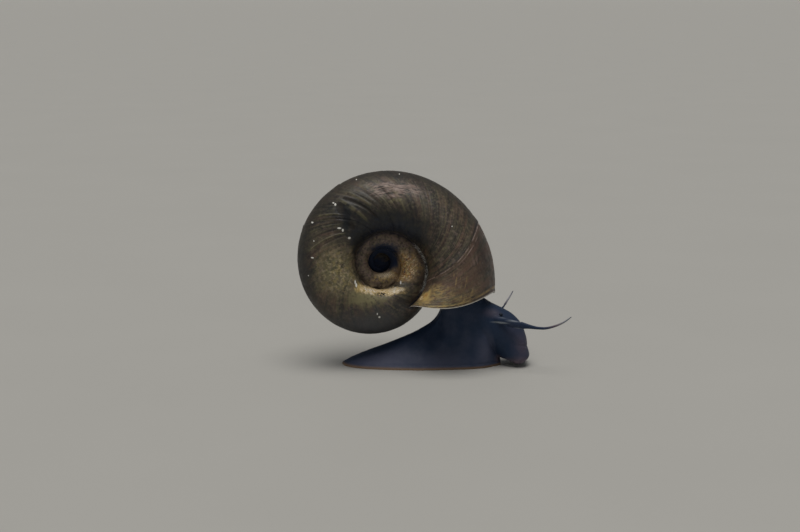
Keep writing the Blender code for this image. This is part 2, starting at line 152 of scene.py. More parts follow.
# The sole flares out below this height, and the back is boxy where it is high.
FLARE_HEIGHT, BOXY_FROM, BOXY_FULL = 4.5 * MM, 5 * MM, 10 * MM
HEAD_STATIONS = (
    (6.2, 10.3, 5.4, 3.4, 2.5), (7.9, 9.1, 6.8, 2.9, 2.7), (9.5, 8.3, 7.9, 2.5, 2.75),
    (11.15, 7.35, 8.7, 1.85, 2.7), (12.4, 6.05, 9.1, 1.3, 2.7), (13.1, 4.4, 9.4, 1.05, 2.85),
    (13.35, 2.7, 9.85, 0.95, 3.0), (13.6, 1.35, 10.6, 0.72, 2.95), (12.8, 0.55, 11.45, 0.3, 2.2))
RIGHT_TENTACLE = (
    (7.6, 1.4, 7.1, 0.6, 0.5), (8.9, 2.5, 6.95, 0.53, 0.42), (10.0, 3.1, 6.87, 0.55, 0.32),
    (10.85, 3.4, 6.6, 0.62, 0.27), (12.1, 3.85, 6.46, 0.54, 0.24), (12.95, 4.15, 6.39, 0.36, 0.22),
    (13.75, 4.4, 6.29, 0.25, 0.2), (14.45, 4.6, 6.23, 0.2, 0.19), (15.4, 4.9, 6.26, 0.18, 0.18),
    (16.3, 5.2, 6.5, 0.16, 0.16), (17.2, 5.5, 6.89, 0.14, 0.14), (18.1, 5.8, 7.43, 0.11, 0.11),
    (18.92, 6.1, 8.14, 0.06, 0.06))
LEFT_TENTACLE = (
    (7.6, 1.4, 7.1, 0.6, 0.5), (8.7, 2.4, 7.1, 0.5, 0.38), (9.45, 3.0, 7.3, 0.32, 0.26),
    (10.03, 3.7, 7.53, 0.2, 0.18), (10.4, 4.7, 7.8, 0.15, 0.15), (10.84, 5.9, 8.14, 0.13, 0.13),
    (11.34, 7.3, 8.53, 0.11, 0.11), (11.85, 9.0, 8.9, 0.06, 0.06))
LOBE_STATIONS = 6
# Paler places of the skin: centre and reach in millimetres, and the share of the paler colour.
SLATE_PLACES = (
    ((-7.5, -3.0, 1.2), (7.5, 5.0, 3.0), 0.95), ((0.5, -4.0, 1.0), (7.0, 3.0, 2.6), 0.7),
    ((7.4, -3.0, 2.4), (2.6, 3.0, 4.0), 0.8), ((12.6, -2.0, 3.2), (1.8, 4.0, 3.8), 0.85),
    ((11.4, -2.4, 1.6), (3.0, 4.0, 1.8), 0.7), ((9.4, -2.0, 7.4), (3.0, 2.6, 1.4), 0.6),
    ((-7.5, 3.0, 1.2), (7.5, 3.0, 3.0), 0.9), ((0.5, 4.0, 1.0), (7.0, 3.0, 2.6), 0.7),
    ((7.4, 3.0, 2.4), (2.6, 3.0, 4.0), 0.8))
MAUVE_PLACES = (
    ((11.8, -2.4, 0.9), (2.6, 3.2, 1.1), 0.8), ((9.2, -1.2, 1.0), (1.0, 1.6, 0.9), 0.7),
    ((8.3, -2.4, 8.0), (2.2, 1.6, 1.1), 0.35), ((8.3, 2.4, 8.0), (2.2, 1.6, 1.1), 0.45),
    ((17.0, -5.6, 7.0), (3.2, 1.2, 1.6), 0.8), ((12.4, -2.0, 3.0), (2.2, 3.4, 3.0), 0.35),
    ((11.0, 6.4, 8.3), (2.0, 4.6, 1.6), 0.8), ((11.2, -2.6, 5.6), (2.4, 3.0, 2.6), 0.12))
# First five rows: painted highlights along the edges of the right tentacle's flap; last two: paler grey of
# the left tentacle and of the right tentacle's tip.
PALE_AND_HIGHLIGHT_PLACES = (
    ((9.4, -2.9, 6.68), (2.0, 1.1, 0.24), 0.75), ((8.7, -2.6, 7.95), (0.8, 0.9, 0.3), 0.4),
    ((9.6, -2.9, 7.5), (1.0, 0.9, 0.24), 0.5), ((11.2, -3.6, 7.05), (1.8, 0.7, 0.24), 0.4),
    ((11.6, -3.8, 6.0), (1.2, 0.6, 0.16), 0.5), ((11.2, 6.6, 8.3), (1.6, 4.0, 1.6), 0.4),
    ((18.2, -5.8, 7.6), (2.4, 1.4, 1.6), 0.45))
# Relief of the skin: its grain and folds, the groove above the sole's rim, and in millimetres the
# height of that groove and of the lip's line, with its curve.
COARSE_GRAIN, FINE_GRAIN, FOLD_SIZE = 0.4 * MM, 0.19 * MM, 1.6 * MM
FOLD_DEPTH, RIM_DEPTH, RIM_HEIGHT = 0.03 * MM, 0.05 * MM, 0.62
LIP_HEIGHT, LIP_CURVE = 2.75, 0.07
# Each eye looks forward, out and up. It is flatter behind, with a shallow ring round its front.
EYE_LOOKS = (0.35, 0.75, 0.55)
EYE_FLATTER, EYE_RING = 0.12, 0.05
# The floor curves up at its edge in steps, by shares of its radius.
EDGE_STEPS, EDGE_RISE, EDGE_GROWTH = 8, 0.06, 0.08
# Where the soft light comes from: overhead, a little from the front.
LIGHT_FROM, LIGHT_COLOUR = (-0.05, -0.12, 1.0), (1.0, 0.97, 0.93)
# The camera: its place in metres, and the photo's scale and width in pixels.
LOOK_AT, CAMERA_DISTANCE, ELEVATION = (-0.005, 0, 0.0143), 0.22, math.radians(10)
SENSOR_MM, PIXELS_PER_METRE, PHOTO_WIDTH = 36, 7000, 800


def linear(code):
    """A hex colour, as a linear colour."""
    channels = [int(code[k:k + 2], 16) / 255 for k in (1, 3, 5)]
    return [c / 12.92 if c <= 0.04045 else ((c + 0.055) / 1.055) ** 2.4 for c in channels]


def colour_prop(name, description, code):
    return FloatVectorProperty(name=name, description=description, size=3, subtype="COLOR",
                               min=0, max=1, default=linear(code))


def length_prop(name, description, millimetres):
    return FloatProperty(name=name, description=description, unit="LENGTH", precision=6,
                         default=millimetres * MM)


def angle_prop(name, description, degrees):
    return FloatProperty(name=name, description=description, subtype="ANGLE", default=math.radians(degrees))


class ShellSettings(bpy.types.PropertyGroup):
    """Sizes and colours of the shell."""
    apex: FloatVectorProperty(
        name="Apex", description="Where the axis of the shell meets its first whorl", size=3,
        subtype="TRANSLATION", unit="LENGTH", precision=6, default=(-7.7 * MM, 2.2 * MM, 13.87 * MM))
    yaw: angle_prop("Yaw", "Turn of the shell about the upright", 7)
    lean: angle_prop("Lean", "How far the shell's axis tips up", 14)
    turn_ratio: FloatProperty(name="Turn ratio", description="Growth of the tube in one turn", default=2.15)
    turns: FloatProperty(name="Turns", description="Number of turns", default=3.08)
    lip_angle: angle_prop("Lip angle", "Where round the axis the lip lies", -15.2)
    outer_reach: length_prop("Outer reach", "From the axis to the periphery, at the lip", 17.2)
    inner_reach: length_prop("Inner reach", "From the axis to the inner side, at the lip", 6.55)
    half_thick: length_prop("Half thickness", "Half the tube's size along the axis, at the lip", 6.1)
    crest_shift: length_prop("Crest shift", "How far the near crest sits towards the axis", 1.4)
    pit_rise: length_prop("Pit rise", "How far later whorls rise beside the pit", 2.9)
    early_sink: length_prop("Early sink", "How deep the first whorls sit", 1.7)
    early_size: FloatProperty(name="Early size", description="Share of full size under which whorls sink",
                              default=0.26)
    wall: length_prop("Wall", "Thickness of the wall deep in the mouth", 0.55)
    lip_wall: length_prop("Lip wall", "Thickness of the wall at its edge", 0.16)
    first_radius: length_prop("First whorl", "Radius of the knob at the apex", 2.0)
    first_depth: length_prop("First whorl depth", "How deep the knob sits", 1.0)
    ridge_height: length_prop("Ridge height", "Height of the coarse growth ridges", 0.05)
    fold_height: length_prop("Fold height", "Height of the loose folds between the main ones", 0.032)
    olive: colour_prop("Olive", "Horn seen in good light", "#847e5c")
    brown: colour_prop("Brown", "Main colour of the horn", "#595143")
    red_brown: colour_prop("Red brown", "Streaks of the horn and the band by the lip", "#644b41")
    # Black brown also paints shade in the fold valleys and in the pit.
    black_brown: colour_prop("Black brown", "Dark bands", "#2d2925")
    # Shadow is painted shade above, beside and below the pit and on the underside; it also draws dark lines
    # and mottles.
    shadow: colour_prop("Shadow", "Dirt in the folds and the dark slope above the pit", "#0e141c")
    # Mauve is also painted sheen on the crest, in wavy streaks.
    mauve: colour_prop("Mauve", "Worn horn on the crest and round the pit", "#847067")
    # Grey is painted shade laid over the underside of the last whorl.
    grey: colour_prop("Grey", "Underside of the last whorl", "#494b50")
    # Pink is painted sheen in the crest's brightest streaks, and the line where growth paused.
    pink: colour_prop("Pink", "Brightest streaks of the crest and the line where growth paused", "#a8948b")
    # Gold is also the ground of the painted highlight on the shoulder under the pit.
    gold: colour_prop("Gold", "Thin horn that lets light through", "#c4a868")
    orange: colour_prop("Orange", "Stained spots by the pit and the corner of the lip", "#a5713f")
    # Pale is also painted light: the shoulder's highlight, glints at the ring's bottom and a lift in the
    # groove above the shoulder.
    pale: colour_prop("Pale", "Edge of the lip and the brightest horn", "#ffe8c2")
    # Lime is also painted glints: streaks on the shoulder, slivers beside it and beads along the suture.
    lime: colour_prop("Lime", "Specks of lime and the beads along the suture", "#ecebe4")
    # Pit black is painted shade: the deep pit, blue black on the slope above it and on its top rim; it also
    # darkens the suture's seam.
    pit_black: colour_prop("Pit black", "Coated first whorls in the pit", "#1f2b44")


class SkinSettings(bpy.types.PropertyGroup):
    """Sizes and colours of the soft body."""
    voxel: length_prop("Voxel", "Cell size that fuses the body into one skin", 0.1)
    granule: length_prop("Granule", "Height of the fine grain of the skin", 0.012)
    groove: length_prop("Groove", "Depth of the line of the mouth", 0.16)
    black_blue: colour_prop("Black blue", "Main colour of the skin", "#1b2e48")
    slate: colour_prop("Slate", "Stretched skin of the tail, the flank and the head", "#4e5267")
    mauve_grey: colour_prop("Mauve grey", "Thin skin by the mouth and the root of the tentacles", "#77666f")
    # Pale grey of the tentacles, and painted highlights along the edges of the right tentacle's flap.
    pale_grey_and_highlight: colour_prop("Pale edge", "Thin edges of the tentacle's flap", "#b0b8be")
    sole_brown: colour_prop("Sole brown", "Edge of the sole", "#7d6346")
    eye_black: colour_prop("Eye black", "Colour of the eyes", "#050608")
    eye_radius: length_prop("Eye radius", "Radius of an eye", 0.3)


class StageSettings(bpy.types.PropertyGroup):
    """Floor, light and camera."""
    floor: colour_prop("Floor", "Colour of the floor", "#b9b8b3")
    floor_radius: FloatProperty(name="Floor radius", description="Reach of the level floor", unit="LENGTH",
                                default=20)
    light: FloatProperty(name="Light", description="Strength of the soft light above", default=2.0)
    light_spread: angle_prop("Light spread", "How wide the soft light above seems", 50)
    fill: FloatProperty(name="Fill", description="Strength of the light from all round", default=0.16)


def smooth(low, high, value):
    """Smooth step of an array from 0 at low to 1 at high."""
    share = np.clip((value - low) / (high - low), 0, 1)
    return share * share * (3 - 2 * share)


def hump(centre, reach, value):
    """Smooth hump of height 1 at a centre, 0 from reach on."""
    return 1 - smooth(0, reach, np.abs(value - centre))


def random_at(cells, seed):
    """A repeatable number from 0 to 1 for each whole-number cell."""
    mixed = np.full(cells.shape[:-1], seed * 2654435761 % 2 ** 32, np.uint64)
    for axis, prime in zip(range(cells.shape[-1]), (73856093, 19349663, 83492791)):
        mixed ^= (cells[..., axis].astype(np.int64) * prime % 2 ** 32).astype(np.uint64)
        mixed = (mixed * 2246822519 + 374761393) % 2 ** 32
        mixed ^= mixed >> 15
    return mixed / 2.0 ** 32


def noise(places, seed):
    """Smooth random field from -1 to 1 with cells of size 1, in as many dimensions as the places have."""
    places = np.asarray(places, float)
    cell = np.floor(places).astype(np.int64)
    share = places - cell
    share = share * share * (3 - 2 * share)
    dims = places.shape[-1]
    total = 0
    for corner in range(2 ** dims):
        offset = np.array([corner >> axis & 1 for axis in range(dims)])
        weight = np.prod(np.where(offset == 1, share, 1 - share), axis=-1)
        total = total + weight * random_at(cell + offset, seed)
    return 2 * total - 1


class Coil:
    """The growth rule: a tube that grows by a fixed ratio each turn round a nearly level axis.

    Growth is the angle of a growth line, 0 at the lip and negative behind it. Side is the
    angle round the tube, 0 at the periphery and a quarter turn at the near crest.
    """

    def __init__(self, sizes):
        self.sizes = sizes
        yaw, lean = sizes.yaw, sizes.lean
        self.apex = np.array(sizes.apex)
        self.right = np.array([math.cos(yaw), math.sin(yaw), 0])
        level = math.cos(lean)
        self.axis = np.array([math.sin(yaw) * level, -math.cos(yaw) * level, math.sin(lean)])
        self.up = np.cross(self.axis, self.right)
        self.rate = math.log(sizes.turn_ratio) / FULL_TURN
        self.start = -FULL_TURN * sizes.turns

    def sweep(self, side):
        near = NEAR_SWEEP * (1 - np.cos(side))
        far = FAR_SWEEP * (1 - np.cos(side))
        share = smooth(FAR_SIDE_FROM, FAR_SIDE_FULL, side)
        return near * (1 - share) + far * share

    def section(self, turn):
        """Size, outer and inner reach and height of the tube's middle at a turn."""
        sizes = self.sizes
        size = np.exp(self.rate * turn)
        angle = sizes.lip_angle - turn
        sag = (SAG[0] * np.cos(angle) + SAG[1] * np.sin(angle)) * smooth(SAG_FROM, SAG_FULL, size)
        lap = LAP + LAP_ROUND[0] * np.cos(angle) + LAP_ROUND[1] * np.sin(angle)
        lap = lap * smooth(LAP_FROM, LAP_FULL, size) * (1 - smooth(LAP_EASE, LAP_END, size))
        middle = sizes.pit_rise * size - sizes.early_sink * (1 - smooth(0, sizes.early_size, size))
        return size, sizes.outer_reach * size + sag, sizes.inner_reach * size - lap, middle

    def drift(self, turn):
        """How far the whorl's centre sits from the axis, to the right and up."""
        share = 1 - smooth(DRIFT_FULL, DRIFT_FROM, np.exp(self.rate * turn))
        return DRIFT[0] * share, DRIFT[1] * share

    def points(self, growth, side, inset=0.0):
        """Points of the tube's surface, or inset from it."""
        growth, side = np.broadcast_arrays(growth, side)
        turn = growth + self.sweep(side)
        size, outer, inner, middle = self.section(turn)
        half_width = (outer - inner) / 2 - inset
        half_thick = self.sizes.half_thick * size - inset
        lift = np.sin(side)
        crest = self.sizes.crest_shift * size * np.maximum(lift, 0)
        lift = np.where(lift < 0, -np.abs(lift) ** FAR_FLATNESS, lift)
        radius = (outer + inner) / 2 + half_width * np.cos(side) - crest
        height = middle + half_thick * lift
        angle = self.sizes.lip_angle - turn
        drift_right, drift_up = self.drift(turn)
        flat = (np.cos(angle) * radius + drift_right)[..., None] * self.right
        flat = flat + (np.sin(angle) * radius + drift_up)[..., None] * self.up
        return self.apex + flat + height[..., None] * self.axis

    def turn_angle(self, points):
        """The swept turn of points, without the whole turns behind it."""
        offset = points - self.apex
        angle = np.arctan2(offset @ self.up, offset @ self.right)
        turn = self.sizes.lip_angle - angle
        limit = math.radians(100)
        return limit - np.mod(limit - turn, FULL_TURN)

    def turn_near(self, points, turn):
        """The swept turn of points, near a given one."""
        offset = points - self.apex
        right, up = offset @ self.right, offset @ self.up
        for _ in range(3):
            drift_right, drift_up = self.drift(turn)
            fresh = self.sizes.lip_angle - np.arctan2(up - drift_up, right - drift_right)
            turn = fresh + FULL_TURN * np.round((turn - fresh) / FULL_TURN)
        return turn

    def side_at(self, points, turn):
        """Side of points on the whorl at a turn, and how far they lie outside its surface."""
        offset = points - self.apex
        height = offset @ self.axis
        drift_right, drift_up = self.drift(turn)
        radius = np.hypot(offset @ self.up - drift_up, offset @ self.right - drift_right)
        size, outer, inner, middle = self.section(turn)
        lift = (height - middle) / (self.sizes.half_thick * size)
        crest = self.sizes.crest_shift * size * np.clip(lift, 0, 1)
        lift = np.where(lift < 0, -np.abs(lift) ** (1 / FAR_FLATNESS), lift)
        across = (radius - (outer + inner) / 2 + crest) / ((outer - inner) / 2)
        side = np.mod(np.arctan2(lift, across), FULL_TURN)
        return side, (np.hypot(lift, across) - 1) * (outer - inner) / 2

    def locate(self, points):
        """Swept turn, growth, side, distance outside the nearest whorl and from the next nearest."""
        base = self.turn_angle(points)
        turns, sides, offs, growths = [], [], [], []
        for whole in range(math.ceil(self.sizes.turns) + 1):
            turn = self.turn_near(points, base - FULL_TURN * whole)
            side, off = self.side_at(points, turn)
            growth = turn - self.sweep(side)
            off = np.where((growth > 0.01) | (growth < self.start - 0.1), 1.0, off)
            turns.append(turn), sides.append(side), offs.append(off), growths.append(growth)
        offs = np.array(offs)
        order = np.argsort(np.abs(offs), axis=0)
        best = order[0]
        rows = np.arange(len(points))
        turns, growths, sides = (np.array(values)[best, rows] for values in (turns, growths, sides))
        return turns, growths, sides, offs[best, rows], np.abs(offs[order[1], rows])

    def wall(self, growth):
        """Thickness of the wall, which thins to the lip."""
        sizes = self.sizes
        return sizes.wall - (sizes.wall - sizes.lip_wall) * smooth(WALL_THINS_FROM, 0, growth)

    def growth_length(self, growth):
        """Length in metres along the middle of the last whorl, back from the lip."""
        middle = (self.sizes.outer_reach + self.sizes.inner_reach) / 2
        return middle / self.rate * (1 - np.exp(self.rate * growth))


def deselect():
    if bpy.context.object and bpy.context.object.mode != "OBJECT":
        bpy.ops.object.mode_set(mode="OBJECT")
    bpy.ops.object.select_all(action="DESELECT")


def activate(piece):
    deselect()
    piece.select_set(True)
    bpy.context.view_layer.objects.active = piece


def rolled_sheet(name, rings):
    """A grid laid over rings of points, closed where its sides meet and capped at both ends."""
    count, sides = rings.shape[:2]
    deselect()
    bpy.ops.mesh.primitive_grid_add(x_subdivisions=sides, y_subdivisions=count - 1, size=1)
    piece = bpy.context.object
    piece.name = name
    piece.data.vertices.foreach_set("co", np.concatenate([rings, rings[:, :1]], axis=1).reshape(-1))
    bpy.ops.object.mode_set(mode="EDIT")
    bpy.ops.mesh.select_all(action="SELECT")
    bpy.ops.mesh.remove_doubles(threshold=MERGE)
    bpy.ops.mesh.select_all(action="SELECT")
    bpy.ops.mesh.fill_holes(sides=0)
    bpy.ops.mesh.select_all(action="DESELECT")
    bpy.ops.mesh.select_mode(type="FACE")
    bpy.ops.object.mode_set(mode="OBJECT")
    for face in piece.data.polygons:
        face.select = len(face.vertices) > 4
    bpy.ops.object.mode_set(mode="EDIT")
    bpy.ops.mesh.poke()
    bpy.ops.mesh.select_all(action="SELECT")
    bpy.ops.mesh.normals_make_consistent(inside=False)
    bpy.ops.object.mode_set(mode="OBJECT")
    return piece


def modify(piece, kind, **settings):
    """Put a modifier with its settings on the active piece, and apply it."""
    modifier = piece.modifiers.new(kind, kind)
    for name, value in settings.items():
        setattr(modifier, name, value)
    bpy.ops.object.modifier_apply(modifier=modifier.name)


def combine(piece, others, operation):
    """Join or cut closed pieces in one Boolean, and delete the others."""
    group = bpy.data.collections.new("operands")
    for other in others:
        group.objects.link(other)
    activate(piece)
    modify(piece, "BOOLEAN", operation=operation, solver="MANIFOLD", operand_type="COLLECTION",
           collection=group)
    bpy.data.collections.remove(group)
    for other in others:
        bpy.data.objects.remove(other)
    return piece


def keep_largest(piece):
    """Delete every loose surface but the one with the most vertices."""
    mesh = bmesh.new()
    mesh.from_mesh(piece.data)
    unseen = set(mesh.verts)
    groups = []
    while unseen:
        group, frontier = [], [unseen.pop()]
        while frontier:
            vert = frontier.pop()
            group.append(vert)
            for edge in vert.link_edges:
                other = edge.other_vert(vert)
                if other in unseen:
                    unseen.remove(other)
                    frontier.append(other)
        groups.append(group)
    groups.sort(key=len)
    for group in groups[:-1]:
        bmesh.ops.delete(mesh, geom=group, context="VERTS")
    mesh.to_mesh(piece.data)
    mesh.free()


def read(items, name, width=1, kind=np.float32):
    """A value of every item of a mesh, or a row of values."""
    values = np.empty(len(items) * width, kind)
    items.foreach_get(name, values)
    return values.reshape(-1, width).astype(float) if width > 1 else values


def vertex_places(piece):
    return read(piece.data.vertices, "co", 3)


def vertex_normals(piece):
    return read(piece.data.vertex_normals, "vector", 3)


def move_vertices(piece, places):
    piece.data.vertices.foreach_set("co", places.astype(np.float32).reshape(-1))
    piece.data.update()


def store(piece, name, values):
    """Keep a number for each vertex, for the material to read."""
    layer = piece.data.attributes.new(name, "FLOAT", "POINT")
    layer.data.foreach_set("value", np.asarray(values, np.float32))


def rgba(colour):
    return (*colour, 1)


class Coat:
    """A material whose colours are laid one over another, each where its shares say."""

    def __init__(self, colours, base, name, **sockets):
        self.colours = colours
        self.material = bpy.data.materials.new(name)
        self.material.use_nodes = True
        self.tree = self.material.node_tree
        self.shader = self.tree.nodes["Principled BSDF"]
        for socket, value in sockets.items():
            self.shader.inputs[socket.replace("_", " ")].default_value = value
        self.place = self.add("TexCoord").outputs["Object"]
        self.colour = rgba(getattr(colours, base))

    def add(self, kind, links=None, **settings):
        """Add a node with its settings, and link or set its inputs."""
        node = self.tree.nodes.new("ShaderNode" + kind)
        for name, value in settings.items():
            setattr(node, name, value)
        for name, value in (links or {}).items():
            if isinstance(value, bpy.types.NodeSocket):
                self.tree.links.new(value, node.inputs[name])
            else:
                node.inputs[name].default_value = value
        return node

    def link(self, name, value):
        """Link a value to one of the shader's inputs."""
        self.tree.links.new(value, self.shader.inputs[name])

    def marks(self, vector, sizes, low, high, detail, distortion=0.0, seed=0.0):
        """Share of a random pattern, with marks of the given sizes along each axis of the vector."""
        mapped = self.add("Mapping", {"Vector": vector, "Scale": [1 / size for size in sizes],
                                      "Location": (seed, 0.37 * seed, 0.71 * seed)})
        pattern = self.add("TexNoise", {"Vector": mapped.outputs[0], "Scale": 1.0, "Detail": detail,
                                        "Distortion": distortion})
        return self.add("MapRange", {"Value": pattern.outputs["Fac"], "From Min": low, "From Max": high},
                        interpolation_type="SMOOTHSTEP").outputs["Result"]

    def cloud(self, size, low, high, detail=4.0, seed=0.0):
        """Blotches of one size in millimetres in every direction."""
        return self.marks(self.place, [size * MM] * 3, low, high, detail, 0.0, seed)

    def spot(self, place, centre, reaches, soft=1.0):
        """Share 1 about a centre in millimetres, falling to 0 at its reach along each axis."""
        off = self.add("VectorMath", {0: place, 1: [c * MM for c in centre]}, operation="SUBTRACT")
        off = self.add("VectorMath", {0: off.outputs["Vector"], 1: [1 / (r * MM) for r in reaches]},
                       operation="MULTIPLY")
        far = self.add("VectorMath", {0: off.outputs["Vector"]}, operation="LENGTH")
        return self.add("MapRange", {"Value": far.outputs["Value"], "From Min": 1.0, "From Max": 1 - soft},
                        interpolation_type="SMOOTHSTEP").outputs["Result"]

    def dot(self, *shape):
        """A spot with an even edge."""
        return self.spot(self.place, *shape)

    def within(self, value, low, high, edge):
        """Share 1 where a value lies between low and high, falling to 0 over an edge at both ends."""
        off = self.add("Math", {0: value, 1: (low + high) / 2}, operation="SUBTRACT")
        off = self.add("Math", {0: off.outputs[0]}, operation="ABSOLUTE")
        half = (high - low) / 2
        return self.add("MapRange", {"Value": off.outputs[0], "From Min": half + edge, "From Max": half},
                        interpolation_type="SMOOTHSTEP").outputs["Result"]

    def lay(self, name, *shares):
        """Lay one of the colours over what is painted so far, by the product of the shares."""
        total = shares[0]
        for share in shares[1:]:
            total = self.add("Math", {0: total, 1: share}, operation="MULTIPLY").outputs[0]
        over = rgba(getattr(self.colours, name))
        self.colour = self.add("Mix", {0: total, 6: self.colour, 7: over}, data_type="RGBA").outputs[2]


class Horn(Coat):
    """The horn's coat, which also follows the growth of the shell and has ragged spots."""

    def __init__(self, colours):
        super().__init__(colours, "black_brown", "wet_brown_horn", IOR=1.4, Coat_Weight=0.06,
                         Coat_Roughness=0.3)
        self.age, self.suture, self.fold = (self.add("Attribute", attribute_name=name).outputs["Fac"]
                                            for name in ("age", "suture", "fold"))
        self.uv = self.add("UVMap", uv_map="growth_mm").outputs["UV"]
        flat = self.add("SeparateXYZ", {0: self.uv})
        self.along, self.across = flat.outputs["X"], flat.outputs["Y"]
        self.loose_place = self.ragged(1.3, 3.0, 3.3)
        self.torn_place = self.ragged(0.4, 1.3, 8.8)

    def ragged(self, size, reach, seed):
        """Places moved about at random, so that a spot laid on them has an uneven edge."""
        mapped = self.add("Mapping", {"Vector": self.place, "Scale": [1 / (size * MM)] * 3,
                                      "Location": (seed, seed, seed)})
        cloud = self.add("TexNoise", {"Vector": mapped.outputs[0], "Scale": 1.0, "Detail": 3.0})
        off = self.add("VectorMath", {0: cloud.outputs["Color"], 1: (0.5, 0.5, 0.5)}, operation="SUBTRACT")
        return self.add("VectorMath", {0: off.outputs["Vector"], 1: [reach * MM] * 3, 2: self.place},
                        operation="MULTIPLY_ADD").outputs[0]

    def near(self, *shape):
        """A spot with a loose edge."""
        return self.spot(self.loose_place, *shape)

    def torn(self, *shape):
        """A spot with a finely torn edge."""
        return self.spot(self.torn_place, *shape)

    def lines(self, along, across, low, high, detail, distortion, seed):
        """Marks of a length in millimetres along and across the growth."""
        return self.marks(self.uv, (along, across, 1), low, high, detail, distortion, seed)


def finish_piece(piece, material, slot, *nodes):
    """Paint and hand over a finished piece."""
    piece.data.materials.clear()
    piece.data.materials.append(material)
    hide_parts(*nodes)
    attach(piece, "root")
    return piece


def coil_length(coil, name, start, end, step_angle, inset=0.0):
    """A stretch of the shell's tube between two growth lines."""
    steps = max(2, round((end - start) / step_angle))
    growth = np.linspace(start, end, steps + 1)[:, None]
    side = (np.arange(SIDES) / SIDES * FULL_TURN)[None, :]
    if callable(inset):
        inset = inset(growth)
    return rolled_sheet(name, coil.points(growth, side, inset))


def join_coil(coil):
    """All lengths of the tube in one closed surface, with the mouth hollowed."""
    sizes = coil.sizes
    length = FULL_TURN * LENGTH_TURNS
    shell = coil_length(coil, "shell_surface", -length, 0, STEP_ANGLES[0])
    recess_step = (RECESS_FRONT - RECESS_BACK) / RECESS_STEPS
    recess = coil_length(coil, "recess", RECESS_BACK, RECESS_FRONT, recess_step, coil.wall)
    combine(shell, [recess], "DIFFERENCE")
    earlier = []
    for level in range(1, math.ceil(sizes.turns / LENGTH_TURNS)):
        start = max(-length * (level + 1), coil.start)
        earlier.append(coil_length(coil, "earlier", start, -length * level, STEP_ANGLES[level]))
    deselect()
    bpy.ops.mesh.primitive_uv_sphere_add(segments=48, ring_count=24, radius=sizes.first_radius)
    first = bpy.context.object
    first.scale = (1, 1, KNOB_HEIGHT)
    first.rotation_euler = Vector(coil.axis).to_track_quat("Z", "Y").to_euler()
    first.location = Vector(coil.apex + coil.right * DRIFT[0] + coil.up * DRIFT[1]
                            - coil.axis * sizes.first_depth)
    bpy.ops.object.transform_apply(location=True, rotation=True, scale=True)
    for piece in earlier + [first]:
        combine(shell, [piece], "UNION")
    keep_largest(shell)
    return shell


def fold_height(degrees, side_degrees):
    """Height in millimetres of the folds on the near side of the last whorl."""
    total = np.zeros(len(degrees))
    for growth, side, slant, reach, first, last, height in FOLDS:
        ends = smooth(first, first + FOLD_END, side_degrees) * smooth(last, last - FOLD_END, side_degrees)
        total += height * ends * hump(growth, reach, degrees - slant * (side_degrees - side))
    return total


def shell_relief(coil, growth, side, size, folds):
    """Height in metres of ridges, rests and folds over the plain tube."""
    sizes = coil.sizes
    degrees = np.degrees(growth)
    around = np.stack([degrees / RIDGE_SPACING, side * 1.1], axis=-1)
    ridges = noise(around, 3) + 0.5 * noise(around * (2.6, 1.4), 5) + 0.3 * noise(around * (6.5, 2.0), 8)
    patches = 0.65 + 0.5 * noise(np.stack([degrees / PATCH_SPACING, side * 0.9], axis=-1), 11)
    relief = sizes.ridge_height * ridges * patches * 0.6
    for rest, height in GROWTH_RESTS:
        behind = math.radians(rest) - growth
        rise = 1 - smooth(0, REST_RISE, behind)
        dip = -REST_DIP_SHARE * hump(0, REST_DIP, behind)
        relief = relief + height * MM * np.where(behind >= 0, rise, dip)
    near = smooth(0.25, 0.8, np.sin(side)) * hump(LOOSE_MIDDLE, LOOSE_REACH, growth)
    bend = 2.2 * noise(np.stack([degrees / 9, side * 1.6], axis=-1), 21)
    loose = np.sin(degrees / LOOSE_SPACING * math.pi + bend)
    relief = relief + sizes.fold_height * near * loose * (0.6 + 0.6 * noise(around / (4.0, 1.0), 23))
    return (relief + folds * MM) * size


def paint_coordinates(coil, shell):
    """Lay a UV map in millimetres along the growth of the shell, and keep ages and suture distances."""
    mesh = shell.data
    places = vertex_places(shell)
    _, growth, _, _, gap = coil.locate(places)
    store(shell, "age", -growth / FULL_TURN)
    store(shell, "suture", np.clip(gap / MM, 0, SUTURE_READ_MM))
    face_turn = coil.locate(read(mesh.polygons, "center", 3))[0]
    corner_places = places[read(mesh.loops, "vertex_index", kind=np.int32)]
    turn = np.repeat(face_turn, read(mesh.polygons, "loop_total", kind=np.int32))
    turn = coil.turn_near(corner_places, turn)
    side, _ = coil.side_at(corner_places, turn)
    along = coil.growth_length(turn - coil.sweep(side)) / MM
    across = np.where(side > math.pi, side - FULL_TURN, side) * ACROSS_MM
    while mesh.uv_layers:
        mesh.uv_layers.remove(mesh.uv_layers[0])
    layer = mesh.uv_layers.new(name="growth_mm")
    layer.data.foreach_set("uv", np.stack([along, across], axis=-1).astype(np.float32).reshape(-1))


def lay_bands(horn):
    """Broad bands, growth lines 0.3 to 1 mm apart, and blotches over all the horn."""
    lay, cloud, lines = horn.lay, horn.cloud, horn.lines
    lay("brown", lines(5.0, 14.0, 0.28, 0.6, 2.0, 0, 8.2))
    lay("red_brown", lines(0.8, 6.0, 0.42, 0.62, 3.0, 0.4, 27.0), 0.65)
    lay("olive", lines(0.32, 6.0, 0.5, 0.75, 3.0, 0, 3.1), 0.4)
    lay("shadow", lines(0.5, 8.0, 0.48, 0.62, 3.0, 0.3, 13.1), 0.6)
    lay("black_brown", cloud(0.9, 0.42, 0.62, 5.0, 5.7), 0.4)
    lay("olive", cloud(0.35, 0.5, 0.66, 5.0, 2.7), 0.25)
    lay("shadow", cloud(0.3, 0.5, 0.64, 5.0, 33.0), 0.3)
    lay("mauve", cloud(0.55, 0.53, 0.68, 5.0, 21.0), 0.35)


